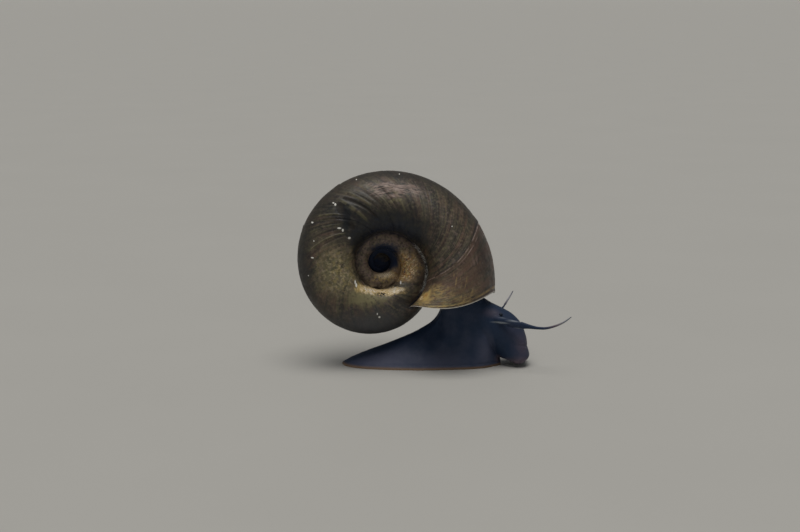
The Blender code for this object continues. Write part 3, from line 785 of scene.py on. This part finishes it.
def lay_dark_places(horn):
    """The periphery is the darkest; painted shade darkens the slope above the pit, the hollow at the upper
    left and the underside.
    """
    lay, near, torn, within, cloud = horn.lay, horn.near, horn.torn, horn.within, horn.cloud
    lay("black_brown", within(horn.across, -99, 1.5, 3.5), 0.8)
    lay("shadow", near((-18.8, -2.2, 15.0), (3.2, 5.0, 10.0)), 0.65)
    lay("shadow", near((-13.0, -2.4, 22.6), (6.5, 5.0, 5.5)), 0.8)
    # Painted shade in the hollow at the upper left.
    lay("shadow", torn((-12.7, -3.0, 21.3), (1.1, 1.8, 3.1), 0.7), 0.75)
    lay("olive", near((-12.8, -2.6, 22.0), (5.5, 5.0, 6.0)), cloud(0.8, 0.4, 0.65, 4.0, 46.0), 0.15)
    # Darker top edge and upper left, and painted shade above, beside and below the pit and on the underside.
    for name, *place, share in DARK_PLACES:
        lay(name, near(*place), share)


def lay_crest(horn):
    """The crest has a painted sheen: wavy mauve and pink streaks that run along the coil, darker between
    them.
    """
    lay, near, cloud, lines = horn.lay, horn.near, horn.cloud, horn.lines
    crest = near((-5.8, -1.2, 25.4), (6.0, 2.4, 1.7), 0.8)
    streaks = lines(3.0, 0.75, 0.46, 0.56, 3.0, 2.2, 1.9)
    lay("shadow", crest, 0.45)
    lay("mauve", crest, streaks)
    lay("pink", crest, lines(2.6, 0.42, 0.53, 0.6, 2.0, 2.4, 5.9), 0.7)
    lay("olive", near((-5.6, -2.0, 24.4), (2.4, 2.0, 1.2)), cloud(0.7, 0.45, 0.6, seed=44.0), 0.7)
    return crest, streaks


def lay_field(horn):
    """Olive gold field at the left of the pit and under it."""
    lay, near, cloud = horn.lay, horn.near, horn.cloud
    left = near((-13.6, -4.3, 14.2), (4.6, 3.0, 5.0))
    lay("olive", left, cloud(1.0, 0.25, 0.5, 5.0, 7.1), 0.9)
    lay("gold", left, cloud(0.5, 0.46, 0.62, 5.0, 9.4), 0.3)
    lay("pale", left, cloud(0.45, 0.5, 0.62, 4.0, 29.0), 0.25)
    lay("mauve", left, cloud(0.6, 0.5, 0.6, 4.0, 12.6), 0.4)
    lay("shadow", left, cloud(0.6, 0.5, 0.62, 3.0, 31.0), 0.6)
    under = near((-9.6, -3.9, 10.6), (4.8, 2.4, 1.9), 0.8)
    lay("olive", under, cloud(0.5, 0.25, 0.5, seed=41.0), 0.9)


def lay_shoulder(horn):
    """Thin gold shoulder under the pit, with a painted highlight in pale and lime, in short streaks across
    the coil.
    """
    lay, near, torn, dot, cloud, lines = horn.lay, horn.near, horn.torn, horn.dot, horn.cloud, horn.lines
    shoulder = torn((-7.5, -2.9, 11.3), (4.0, 1.5, 0.95), 0.6)
    end = torn((-10.3, -3.8, 11.8), (1.7, 1.3, 1.1))
    shoulder = horn.add("Math", {0: shoulder, 1: end}, operation="MAXIMUM").outputs[0]
    lay("gold", shoulder)
    # Painted highlight on the shoulder, in pale and, further on, lime.
    lay("pale", torn((-7.6, -2.9, 11.4), (4.2, 1.5, 0.8), 0.9))
    lay("gold", near((-9.6, -3.4, 11.4), (2.6, 1.4, 1.3)),
        shoulder, lines(0.3, 1.2, 0.46, 0.52, 3.0, 1.0, 6.3), 0.5)
    lay("pale", torn((-10.0, -3.6, 11.6), (2.0, 1.4, 0.9)), lines(0.26, 1.4, 0.44, 0.5, 3.0, 1.0, 7.3),
        0.9)
    lay("olive", near((-9.6, -3.4, 11.4), (2.6, 1.4, 1.3)),
        shoulder, lines(0.3, 0.9, 0.53, 0.58, 3.0, 1.5, 26.3), 0.8)
    lay("orange", shoulder, near((-7.4, -2.2, 11.9), (3.0, 1.2, 0.5)), cloud(0.4, 0.4, 0.6, 4.0, 36.0),
        0.6)
    lay("lime", torn((-9.1, -3.2, 11.35), (1.8, 1.0, 0.7), 0.6),
        lines(0.3, 1.4, 0.5, 0.55, 2.0, 0.8, 57.0), 0.9)
    lay("lime", torn((-5.9, -2.7, 11.35), (1.8, 1.0, 0.5), 0.6),
        lines(1.2, 0.3, 0.45, 0.53, 2.0, 0.8, 58.0), 0.6)
    lay("gold", shoulder, lines(0.22, 1.0, 0.5, 0.58, 3.0, 1.0, 16.3), 0.6)
    lay("shadow", dot((-7.7, -3.2, 10.85), (1.0, 0.7, 0.45), 0.5), cloud(0.2, 0.46, 0.52, 2.0, 51.0))
    return shoulder


def lay_lip_band(horn):
    """Reddish band by the lip, with gold streaks along the coil and a gold lower corner."""
    lay, near, torn, within = horn.lay, horn.near, horn.torn, horn.within
    cloud, lines = horn.cloud, horn.lines
    lip_band = within(horn.age, -1, 0.1, 0.012)
    lay("red_brown", lip_band, lines(0.9, 4.0, 0.3, 0.6, 4.0, 0.5, 61.0), 0.6)
    lay("shadow", lip_band, near((7.0, -2.5, 16.5), (3.0, 4.0, 6.0)), 0.6)
    flecks = lines(1.6, 0.4, 0.55, 0.68, 3.0, 0.6, 17.0)
    lay("gold", lip_band, flecks, near((3.4, -6.2, 12.6), (3.4, 3.0, 2.8)), 0.5)
    lay("mauve", lip_band, flecks, near((5.5, -4.4, 16.0), (2.0, 3.0, 2.5)), 0.5)
    low_end = near((0.4, -6.0, 11.4), (4.2, 3.0, 1.9))
    lay("gold", lip_band, low_end, lines(0.35, 0.8, 0.4, 0.6, 5.0, 0.8, 71.0), 0.55)
    lay("olive", lip_band, low_end, cloud(0.3, 0.45, 0.6, 4.0, 72.0), 0.5)
    rim = lines(0.35, 1.4, 0.4, 0.6, 5.0, 1.0, 73.0)
    lay("olive", within(horn.along, -1, 1.0, 1.4), within(horn.across, 9.0, 99, 5.0), rim, 0.5)
    lay("gold", within(horn.along, -1, 1.0, 1.4), within(horn.across, 9.0, 99, 5.0),
        lines(0.22, 0.9, 0.52, 0.6, 5.0, 1.0, 78.0), 0.5)
    corner = near((-1.5, -4.9, 10.7), (2.1, 2.2, 1.3))
    lay("gold", corner, lip_band, cloud(0.5, 0.05, 0.4, 5.0, 81.0))
    lay("orange", torn((-1.3, -4.9, 11.0), (0.7, 0.8, 0.5)), 0.8)
    lay("pale", torn((-2.2, -4.5, 10.5), (1.0, 0.8, 0.4)), lip_band, 0.8)


def lay_pit(horn):
    """The older whorl round the pit is mottled mauve, gold at its right, with painted shade at its outer
    right and painted glints below, then the black pit of painted shade.
    """
    lay, near, dot, within = horn.lay, horn.near, horn.dot, horn.within
    cloud, lines = horn.cloud, horn.lines
    ring = within(horn.age, 1.06, 9, 0.06)
    lay("mauve", ring, cloud(0.6, 0.25, 0.6, 6.0, 4.9), 0.95)
    lay("shadow", ring, cloud(0.3, 0.44, 0.68, 6.0, 11.3), 0.7)
    lay("olive", ring, cloud(0.25, 0.46, 0.7, 6.0, 91.0), 0.6)
    ring_gold = near((-4.3, -1.0, 13.6), (2.7, 2.8, 4.3), 0.7)
    lay("gold", ring_gold, ring, cloud(0.6, 0.3, 0.6, 6.0, 6.6), 0.85)
    lay("orange", ring_gold, ring, cloud(0.4, 0.42, 0.6, 6.0, 16.6), 0.7)
    lay("black_brown", ring_gold, ring, cloud(0.22, 0.46, 0.6, 5.0, 86.0), 0.55)
    lay("pale", ring_gold, ring, lines(0.3, 1.2, 0.54, 0.6, 3.0, 1.0, 87.0), 0.55)
    # Painted shade at the outer right of the ring.
    lay("shadow", near((-2.3, -1.2, 12.2), (1.3, 1.6, 2.2)), ring, 0.75)
    lay("gold", near((-7.4, -0.4, 12.6), (3.0, 1.6, 1.1)), ring, cloud(0.35, 0.35, 0.6, 6.0, 23.0), 0.9)
    # Painted glints at the bottom of the ring.
    lay("pale", dot((-7.0, -0.2, 13.0), (1.9, 1.2, 0.7)), lines(0.8, 0.24, 0.45, 0.52, 3.0, 1.2, 19.0))
    # Painted shade: the pit blackened, on its near side and about its middle.
    lay("black_brown", within(horn.age, 2.1, 9, 0.12), 0.6)
    lay("pit_black", within(horn.age, 2.1, 9, 0.12), within(horn.across, 1, 99, 2))
    lay("pit_black", within(horn.age, 2.1, 9, 0.12), dot((-7.8, 0.0, 14.6), (3.5, 3.1, 3.5), 0.25))
    return ring


def lay_suture(horn, ring):
    """Dark seam on the suture, with painted light over it at the ring and by the shoulder, and lime beads as
    painted glints right of the pit.
    """
    lay, near, torn, dot, within, cloud = horn.lay, horn.near, horn.torn, horn.dot, horn.within, horn.cloud
    seam = within(horn.suture, -1, 0.1, 0.32)
    lay("pit_black", seam, within(horn.age, 0, 1.45, 0.25), 0.6)
    # Painted light over the seam at the ring and by the shoulder, against the shade of the groove.
    lay("mauve", seam, near((-5.0, 0.2, 13.0), (3.8, 3.0, 3.0), 0.6),
        ring, cloud(0.4, 0.2, 0.5, 4.0, 92.0))
    lay("gold", seam, near((-4.6, 0.0, 13.4), (2.4, 3.0, 3.4)), ring, 0.5)
    lay("pale", within(horn.suture, -1, 0.2, 0.6), near((-7.0, -1.6, 12.0), (3.8, 3.0, 1.4), 0.6),
        cloud(0.4, 0.3, 0.55, 4.0, 93.0), 0.8)
    beads = dot((-1.7, -1.0, 14.6), (2.4, 4.5, 4.8), 0.4)
    # Lime beads along the suture: painted glints on its edge.
    lay("lime", within(horn.suture, -1, 0.14, 0.4),
        beads, horn.marks(horn.torn_place, [0.24 * MM] * 3, 0.49, 0.53, 2.0, 1.0, 14.2))
    # Painted shade on the rim at the top of the pit.
    lay("pit_black", torn((-7.2, 0.2, 16.6), (2.9, 4.0, 1.5), 0.6), ring)


def lay_rests(horn, broken):
    """Painted shade in the fold valleys and in the hollow at the upper left, olive on the ridges, and the
    line where growth paused.
    """
    lay, torn, dot, within, cloud = horn.lay, horn.torn, horn.dot, horn.within, horn.cloud
    # Painted shade in the fold valleys.
    lay("black_brown", within(horn.fold, -9, -0.12, 0.1), 0.8)
    lay("olive", within(horn.fold, 0.07, 9, 0.09), cloud(0.8, 0.3, 0.6, seed=55.0), 0.3)
    # Painted shade in the hollow at the upper left, laid again over the folds.
    lay("shadow", torn((-12.5, -3.0, 21.5), (0.8, 1.8, 2.9), 0.6), 0.75)
    rest = Coil(horn.colours).growth_length(math.radians(GROWTH_RESTS[0][0])) / MM
    lay("shadow", within(horn.along, rest + 0.2, rest + 0.2, 0.26), 0.45)
    lay("pink", within(horn.along, rest - 0.1, rest - 0.1, 0.17), broken, 0.85)
    lay("pink", within(horn.along, rest - 0.6, rest - 0.6, 0.14), broken, dot((4.6, -3.4, 17.4),
        (4.0, 4.0, 4.5)), 0.75)


def lay_lip_edge(horn, broken):
    """The lip is pale at its edge, with two dark growth lines behind it."""
    lay, within, cloud = horn.lay, horn.within, horn.cloud
    lay("shadow", within(horn.along, 0.32, 0.32, 0.14), broken, 0.7)
    lay("gold", within(horn.along, 0.55, 0.55, 0.24), cloud(1.6, 0.3, 0.7, seed=65.0), 0.5)
    lay("shadow", within(horn.along, 0.85, 0.85, 0.16), cloud(0.8, 0.4, 0.6, seed=75.0), 0.5)
    lay("lime", within(horn.along, -1, 0.07, 0.09), 0.55)


def wet_surface(horn, shoulder, crest, streaks):
    """A dull sheen, matt in the pit and on the folds and wet on the shoulder, with fine lines and grain."""
    within, cloud = horn.within, horn.cloud
    rough = horn.add("MapRange", {"Value": cloud(0.7, 0.3, 0.7, 5.0, 1.4), "To Min": 0.38, "To Max": 0.62})
    rough = horn.add("Math", {0: rough.outputs["Result"], 1: within(horn.age, 2.1, 9, 0.2)},
                     operation="MAXIMUM")
    matt = horn.add("Math", {0: within(horn.fold, -0.03, 0.03, 0.05), 1: -0.5, 2: 0.85},
                    operation="MULTIPLY_ADD")
    matt = horn.add("Math", {0: matt.outputs[0], 1: rough.outputs[0]}, operation="MAXIMUM")
    wet = horn.add("Math", {0: shoulder, 1: -0.3, 2: matt.outputs[0]}, operation="MULTIPLY_ADD")
    fine = horn.lines(0.2, 5.0, 0.2, 0.8, 2.0, 0, 6.6)
    height = horn.add("Math", {0: fine, 1: cloud(0.45, 0.2, 0.8, seed=9.5)}, operation="ADD")
    # Relief that follows the crest's painted sheen streaks.
    sheen_streak_relief = horn.add("Math", {0: streaks, 1: crest}, operation="MULTIPLY")
    height = horn.add("Math", {0: sheen_streak_relief.outputs[0], 1: 1.5, 2: height.outputs[0]}, operation="MULTIPLY_ADD")
    horn.link("Base Color", horn.colour)
    horn.link("Roughness", wet.outputs[0])
    bump = horn.add("Bump", {"Strength": 0.7, "Distance": 0.025 * MM, "Height": height.outputs[0]})
    horn.link("Normal", bump.outputs["Normal"])


def horn_material(colours):
    """Horn: thin brown periostracum laid down in growth lines over lime, kept wet.

    It gives a dull sheen on the crests, lines along the growth, drawn coarser than the
    real ones so that they show, and a warm gold where the wall is thin. Painted sheen lies on the
    crest, a painted highlight and glints under the pit, and painted shade above the pit, in it, in
    the fold valleys and on the underside.
    """
    horn = Horn(colours)
    lay_bands(horn)
    lay_dark_places(horn)
    crest, streaks = lay_crest(horn)
    lay_field(horn)
    shoulder = lay_shoulder(horn)
    lay_lip_band(horn)
    lay_suture(horn, lay_pit(horn))
    broken = horn.cloud(1.2, 0.35, 0.52, seed=15.0)
    lay_rests(horn, broken)
    lay_lip_edge(horn, broken)
    # Lime specks, and painted glints by the shoulder.
    for x, y, z, width, height in SPECKS_AND_GLINTS:
        horn.lay("lime", horn.dot((x, y, z), (width, SPECK_AND_GLINT_DEPTH, height), 0.5))
    wet_surface(horn, shoulder, crest, streaks)
    return horn.material


class RAMSHORN_OT_shell(bpy.types.Operator):
    """Coil the shell by its growth rule, raise its ridges and finish its horn"""
    bl_idname = "ramshorn.shell"
    bl_label = "Shell"

    def execute(self, context):
        settings = context.scene.ramshorn_shell
        coil = Coil(settings)
        shell = join_coil(coil)
        places = vertex_places(shell)
        turn, growth, side, off, gap = coil.locate(places)
        size = np.exp(coil.rate * turn)
        outside = 1 - smooth(*INSIDE_FADE, np.abs(off) / MM)
        clear = smooth(*SUTURE_FADE, gap / MM)
        near_side = side < math.pi
        folds = fold_height(np.degrees(growth), np.degrees(side)) * near_side * outside
        height = shell_relief(coil, growth, side, size, folds) * outside * clear
        move_vertices(shell, places + vertex_normals(shell) * height[:, None])
        store(shell, "fold", folds)
        paint_coordinates(coil, shell)
        activate(shell)
        bpy.ops.object.shade_smooth_by_angle(angle=math.radians(50))
        shell.name = "shell_surface"
        finish_piece(shell, horn_material(settings), "shell", "shell")
        return {"FINISHED"}


def curve_through(stations, count):
    """Rows along a smooth curve through the stations, count steps between each pair."""
    rows = np.array([stations[0], *stations, stations[-1]], float)
    result = []
    for k in range(len(stations) - 1):
        a, b, c, d = rows[k:k + 4]
        for step in range(count):
            t = step / count
            result.append(b + t * (c - a) / 2 + t * t * (a - 2.5 * b + 2 * c - d / 2)
                          + t ** 3 * (1.5 * (b - c) + (d - a) / 2))
    result.append(rows[-1])
    return np.array(result)


def foot_rings():
    """Sections across the foot, up over the back, with a flat underside."""
    rings = []
    for x, half_width, height in curve_through(FOOT_STATIONS, 10) * MM:
        boxy = float(smooth(BOXY_FROM, BOXY_FULL, height))
        power, side_power = 1.5 + 2.5 * boxy, 0.72 - 0.22 * boxy
        turn = np.linspace(0, math.pi, 49)
        z = height * np.sin(turn)
        flare = (1 - np.minimum(z / FLARE_HEIGHT, 1)) ** 2
        least = min(NECK_HALF_WIDTH, half_width)
        reach = least + (half_width - least) * flare
        y = reach * np.maximum(1 - (z / height) ** power, 0) ** side_power
        oval = NECK_HALF_WIDTH * max(NECK_LEAST, 1 - ((x - NECK_MIDDLE) / NECK_HALF_LENGTH) ** 2) ** 0.5
        y = y + (np.minimum(y, oval) - y) * smooth(NECK_FROM, NECK_FULL, z)
        y = np.where(turn < math.pi / 2, -y, y)
        under = half_width * np.cos(np.linspace(0, math.pi, 33)[1:-1])
        y, z = np.concatenate([y, under]), np.concatenate([z, np.zeros(len(under))])
        rings.append(np.stack([np.full(len(y), x), y, z], axis=-1))
    return np.array(rings)


def head_rings():
    """Sections of the head between its front line and its under line."""
    turn = np.linspace(0, FULL_TURN, 72, endpoint=False)
    across = np.sign(np.sin(turn)) * np.abs(np.sin(turn)) ** 0.8
    rings = []
    for front_x, front_z, under_x, under_z, half_width in curve_through(HEAD_STATIONS, 8) * MM:
        x = (front_x + under_x) / 2 + (front_x - under_x) / 2 * np.cos(turn)
        z = (front_z + under_z) / 2 + (front_z - under_z) / 2 * np.cos(turn)
        rings.append(np.stack([x, half_width * across, z], axis=-1))
    return np.array(rings)


def tentacle_rings(stations, side, steps, sides):
    """Sections along a tentacle, level with its own line."""
    rows = curve_through(stations, steps) * MM
    middles = rows[:, :3] * (1, side, 1)
    along = np.gradient(middles, axis=0)
    along /= np.linalg.norm(along, axis=1)[:, None]
    across = np.cross(along, (0, 0, 1))
    across /= np.linalg.norm(across, axis=1)[:, None]
    up = np.cross(across, along)
    turn = np.linspace(0, FULL_TURN, sides, endpoint=False)[None, :, None]
    tall, thick = rows[:, 3][:, None, None], rows[:, 4][:, None, None]
    return middles[:, None] + up[:, None] * tall * np.cos(turn) + across[:, None] * thick * np.sin(turn)


def fuse_body(coil, voxel):
    """Foot, head, mantle and tentacle lobes fused into one closed surface."""
    sizes = coil.sizes
    body = rolled_sheet("skin", foot_rings())
    combine(body, [rolled_sheet("head_form", head_rings())], "UNION")
    around = coil_length(coil, "around", -FULL_TURN * LENGTH_TURNS, BODY_STEP, BODY_STEP, AROUND)
    inside = coil_length(coil, "inside", math.radians(-20), RECESS_FRONT, BODY_STEP, sizes.wall + WITHIN_WALL)
    combine(around, [inside], "DIFFERENCE")
    combine(body, [around], "DIFFERENCE")
    mantle = coil_length(coil, "mantle", *MANTLE, BODY_STEP, sizes.wall + MANTLE_GAP)
    lobes = [rolled_sheet("lobe", tentacle_rings(stations[:LOBE_STATIONS], side, 10, 40))
             for stations, side in ((RIGHT_TENTACLE, -1), (LEFT_TENTACLE, 1))]
    for piece in [mantle] + lobes:
        combine(body, [piece], "UNION")
    parietal = coil_length(coil, "parietal", *PARIETAL, BODY_STEP, PARIETAL_GAP)
    combine(body, [parietal], "DIFFERENCE")
    activate(body)
    modify(body, "REMESH", mode="VOXEL", voxel_size=voxel, use_smooth_shade=True)
    modify(body, "SMOOTH", factor=0.5, iterations=8)
    keep_largest(body)
    return body


def skin_relief(settings, places):
    """Height in metres of folds, grooves and grain on the skin."""
    x, y, z = (places / MM).T
    grain = noise(places / COARSE_GRAIN, 31) + 0.6 * noise(places / FINE_GRAIN, 37)
    relief = settings.granule * grain
    relief -= FOLD_DEPTH * (1 + noise(places / FOLD_SIZE * (0.5, 1, 1), 41)) * smooth(1.0, 3.0, z)
    rim = hump(RIM_HEIGHT, 0.3, z) * smooth(9.6, 9.2, x)
    relief -= RIM_DEPTH * rim * (1 + 0.5 * noise(np.stack([x / 1.1, y / 1.1], axis=-1), 43))
    front = smooth(10.8, 12.2, x)
    relief -= settings.groove * front * hump(0, 0.22, y) * smooth(4.2, 3.2, z)
    lip_line = LIP_HEIGHT + LIP_CURVE * y * y
    relief -= settings.groove * 0.4 * front * hump(0, 0.28, z - lip_line) * smooth(3.1, 2.2, np.abs(y))
    return relief


def crown_share(places):
    """How near the back's ridge each point of the foot lies, from 0 at the sole to 1."""
    stations = np.array(FOOT_STATIONS) * MM
    back = np.interp(places[:, 0], stations[:, 0], stations[:, 2])
    return np.clip(places[:, 2] / back, 0, 1)


def skin_material(colours):
    """Living skin: black pigment under a thin coat of slime, thinner and browner at the sole's edge.

    It gives a velvety blue black, slate where the skin is stretched, with a very dull sheen, and painted
    highlights on the edges of the tentacle's flap.
    """
    skin = Coat(colours, "black_blue", "moist_black_skin", IOR=1.36, Coat_Weight=0.04, Coat_Roughness=0.4)
    skin.lay("slate", skin.cloud(2.5, 0.3, 0.7, 3.0), 0.35)
    for centre, reaches, share in SLATE_PLACES:
        skin.lay("slate", skin.dot(centre, reaches), share)
    crown = skin.add("Attribute", attribute_name="crown").outputs["Fac"]
    skin.lay("black_blue", skin.within(crown, 0.9, 9, 0.28), 0.9)
    uneven = skin.cloud(1.1, 0.05, 0.55, 3.0)
    for centre, reaches, share in MAUVE_PLACES:
        skin.lay("mauve_grey", skin.dot(centre, reaches), uneven, share)
    # Painted highlights on the right tentacle's flap, and paler grey on the tentacles.
    for centre, reaches, share in PALE_AND_HIGHLIGHT_PLACES:
        skin.lay("pale_grey_and_highlight", skin.dot(centre, reaches), share)
    height = skin.add("SeparateXYZ", {0: skin.place}).outputs["Z"]
    skin.lay("sole_brown", skin.within(height, -MM, 0.1 * MM, 0.4 * MM), 0.85)
    rough = skin.add("MapRange", {"Value": skin.cloud(0.8, 0.2, 0.8, 3.0, 7.0), "To Min": 0.55,
                                  "To Max": 0.75})
    skin.link("Base Color", skin.colour)
    skin.link("Roughness", rough.outputs["Result"])
    grain = skin.cloud(0.16, 0.2, 0.8, 3.0, 3.0)
    bump = skin.add("Bump", {"Strength": 0.4, "Distance": 0.02 * MM, "Height": grain})
    skin.link("Normal", bump.outputs["Normal"])
    return skin.material


class RAMSHORN_OT_skin(bpy.types.Operator):
    """Fuse the foot, neck, head, mantle and tentacles into one skin with its folds"""
    bl_idname = "ramshorn.skin"
    bl_label = "Skin"

    def execute(self, context):
        settings = context.scene.ramshorn_skin
        skin = fuse_body(Coil(context.scene.ramshorn_shell), settings.voxel)
        places = vertex_places(skin)
        places = places + vertex_normals(skin) * skin_relief(settings, places)[:, None]
        places[:, 2] = np.maximum(places[:, 2], 0)
        move_vertices(skin, places)
        for stations, side in ((RIGHT_TENTACLE, -1), (LEFT_TENTACLE, 1)):
            filament = rolled_sheet("filament", tentacle_rings(stations[LOBE_STATIONS - 2:], side, 14, 24))
            combine(skin, [filament], "UNION")
        keep_largest(skin)
        store(skin, "crown", crown_share(vertex_places(skin)))
        activate(skin)
        bpy.ops.object.shade_smooth()
        skin.name = "skin"
        tentacles = [f"tentacle_{side}_{part}" for side in ("right", "left") for part in TENTACLE_PARTS]
        finish_piece(skin, skin_material(settings), "flesh", *FOOT_NODES, *tentacles)
        return {"FINISHED"}


def eye_material(colours):
    """Black eye under a thin clear skin: smooth and wet, so it only glints."""
    eye = Coat(colours, "eye_black", "wet_black_eye", IOR=1.35, Roughness=0.4)
    cloud = eye.add("TexNoise", {"Vector": eye.place, "Scale": 1 / (0.3 * MM), "Detail": 2.0})
    eye.lay("black_blue", cloud.outputs["Fac"])
    eye.link("Base Color", eye.colour)
    return eye.material


class RAMSHORN_OT_eyes(bpy.types.Operator):
    """Set a domed black eye in each socket at the root of the tentacles"""
    bl_idname = "ramshorn.eyes"
    bl_label = "Eyes"

    def execute(self, context):
        settings = context.scene.ramshorn_skin
        material = eye_material(settings)
        for side in ("right", "left"):
            low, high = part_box(f"eye_{side}")
            centre = (low + high) / 2
            deselect()
            bpy.ops.mesh.primitive_uv_sphere_add(segments=48, ring_count=32, radius=settings.eye_radius,
                                                 location=centre)
            eye = bpy.context.object
            bpy.ops.object.transform_apply(location=True, rotation=True, scale=True)
            places = vertex_places(eye)
            centre = np.array(centre)
            outward = np.array(EYE_LOOKS) * (1, 1 if side == "left" else -1, 1)
            outward /= np.linalg.norm(outward)
            offset = places - centre
            facing = offset @ outward / settings.eye_radius
            dome = 1 - EYE_FLATTER * smooth(0.2, -0.6, facing) - EYE_RING * hump(0.62, 0.25, facing)
            move_vertices(eye, centre + offset * dome[:, None])
            activate(eye)
            bpy.ops.object.shade_smooth()
            eye.name = f"{side}_eye_dome"
            finish_piece(eye, material, "eye", f"eye_{side}")
        return {"FINISHED"}


def floor_material(settings):
    """Painted board: matt and pale, with a faint uneven coat."""
    board = Coat(settings, "floor", "matt_pale_board", Roughness=0.6)
    board.colour = rgba([0.95 * channel for channel in settings.floor])
    cloud = board.add("TexNoise", {"Vector": board.place, "Scale": 1 / (30 * MM), "Detail": 3.0})
    board.lay("floor", cloud.outputs["Fac"])
    board.link("Base Color", board.colour)
    return board.material


class RAMSHORN_OT_stage(bpy.types.Operator):
    """Lay the pale floor, hang the soft light and set the camera"""
    bl_idname = "ramshorn.stage"
    bl_label = "Stage"

    def execute(self, context):
        settings = context.scene.ramshorn_stage
        deselect()
        bpy.ops.mesh.primitive_circle_add(vertices=96, radius=settings.floor_radius, fill_type="NGON")
        floor = bpy.context.object
        floor.name = "floor"
        bpy.ops.object.mode_set(mode="EDIT")
        bpy.ops.mesh.select_all(action="SELECT")
        bpy.ops.mesh.select_mode(type="EDGE")
        bpy.ops.mesh.region_to_loop()
        for step in range(EDGE_STEPS):
            angle = math.radians(90) * (step + 0.5) / EDGE_STEPS
            rise = settings.floor_radius * EDGE_RISE * math.sin(angle)
            grow = 1 + EDGE_GROWTH * math.cos(angle)
            bpy.ops.mesh.extrude_edges_move(TRANSFORM_OT_translate={"value": (0, 0, rise)})
            bpy.ops.transform.resize(value=(grow, grow, 1), center_override=(0, 0, 0))
        bpy.ops.object.mode_set(mode="OBJECT")
        bpy.ops.object.shade_smooth()
        floor.data.materials.append(floor_material(settings))

        world = bpy.data.worlds.new("soft_room")
        world.use_nodes = True
        background = world.node_tree.nodes["Background"]
        background.inputs["Color"].default_value = rgba(linear("#dfe3e8"))
        background.inputs["Strength"].default_value = settings.fill
        context.scene.world = world
        light = bpy.data.lights.new("soft_light_above", "SUN")
        light.energy = settings.light
        light.angle = settings.light_spread
        light.color = LIGHT_COLOUR
        lamp = bpy.data.objects.new("soft_light_above", light)
        lamp.rotation_euler = Vector(LIGHT_FROM).to_track_quat("Z", "Y").to_euler()
        context.scene.collection.objects.link(lamp)

        camera = bpy.data.cameras.new("camera")
        camera.sensor_width = SENSOR_MM
        camera.lens = SENSOR_MM * PIXELS_PER_METRE * CAMERA_DISTANCE / PHOTO_WIDTH
        camera.clip_start = 0.001
        view = bpy.data.objects.new("camera", camera)
        back = Vector((0, -math.cos(ELEVATION), math.sin(ELEVATION)))
        view.location = Vector(LOOK_AT) + back * CAMERA_DISTANCE
        view.rotation_euler = (-back).to_track_quat("-Z", "Y").to_euler()
        context.scene.collection.objects.link(view)
        context.scene.camera = view
        context.scene.view_settings.view_transform = "Standard"
        return {"FINISHED"}


class RAMSHORN_PT_panel(bpy.types.Panel):
    """Lists the pieces of the snail and the stage"""
    bl_idname = "RAMSHORN_PT_panel"
    bl_label = "Great ramshorn snail"
    bl_space_type = "VIEW_3D"
    bl_region_type = "UI"
    bl_category = "Ramshorn"

    def draw(self, context):
        for operator in OPERATORS:
            self.layout.operator(operator.bl_idname)


OPERATORS = (RAMSHORN_OT_shell, RAMSHORN_OT_skin, RAMSHORN_OT_eyes, RAMSHORN_OT_stage)
GROUPS = {"ramshorn_shell": ShellSettings, "ramshorn_skin": SkinSettings, "ramshorn_stage": StageSettings}


def register():
    for group in GROUPS.values():
        bpy.utils.register_class(group)
    for operator in OPERATORS:
        bpy.utils.register_class(operator)
    bpy.utils.register_class(RAMSHORN_PT_panel)
    for name, group in GROUPS.items():
        setattr(bpy.types.Scene, name, PointerProperty(type=group))


def unregister():
    for name in GROUPS:
        delattr(bpy.types.Scene, name)
    bpy.utils.unregister_class(RAMSHORN_PT_panel)
    for operator in reversed(OPERATORS):
        bpy.utils.unregister_class(operator)
    for group in reversed(GROUPS.values()):
        bpy.utils.unregister_class(group)


def main():
    register()
    bpy.ops.ramshorn.shell()
    bpy.ops.ramshorn.skin()
    bpy.ops.ramshorn.eyes()
    bpy.ops.ramshorn.stage()


if __name__ == "__main__":
    main()
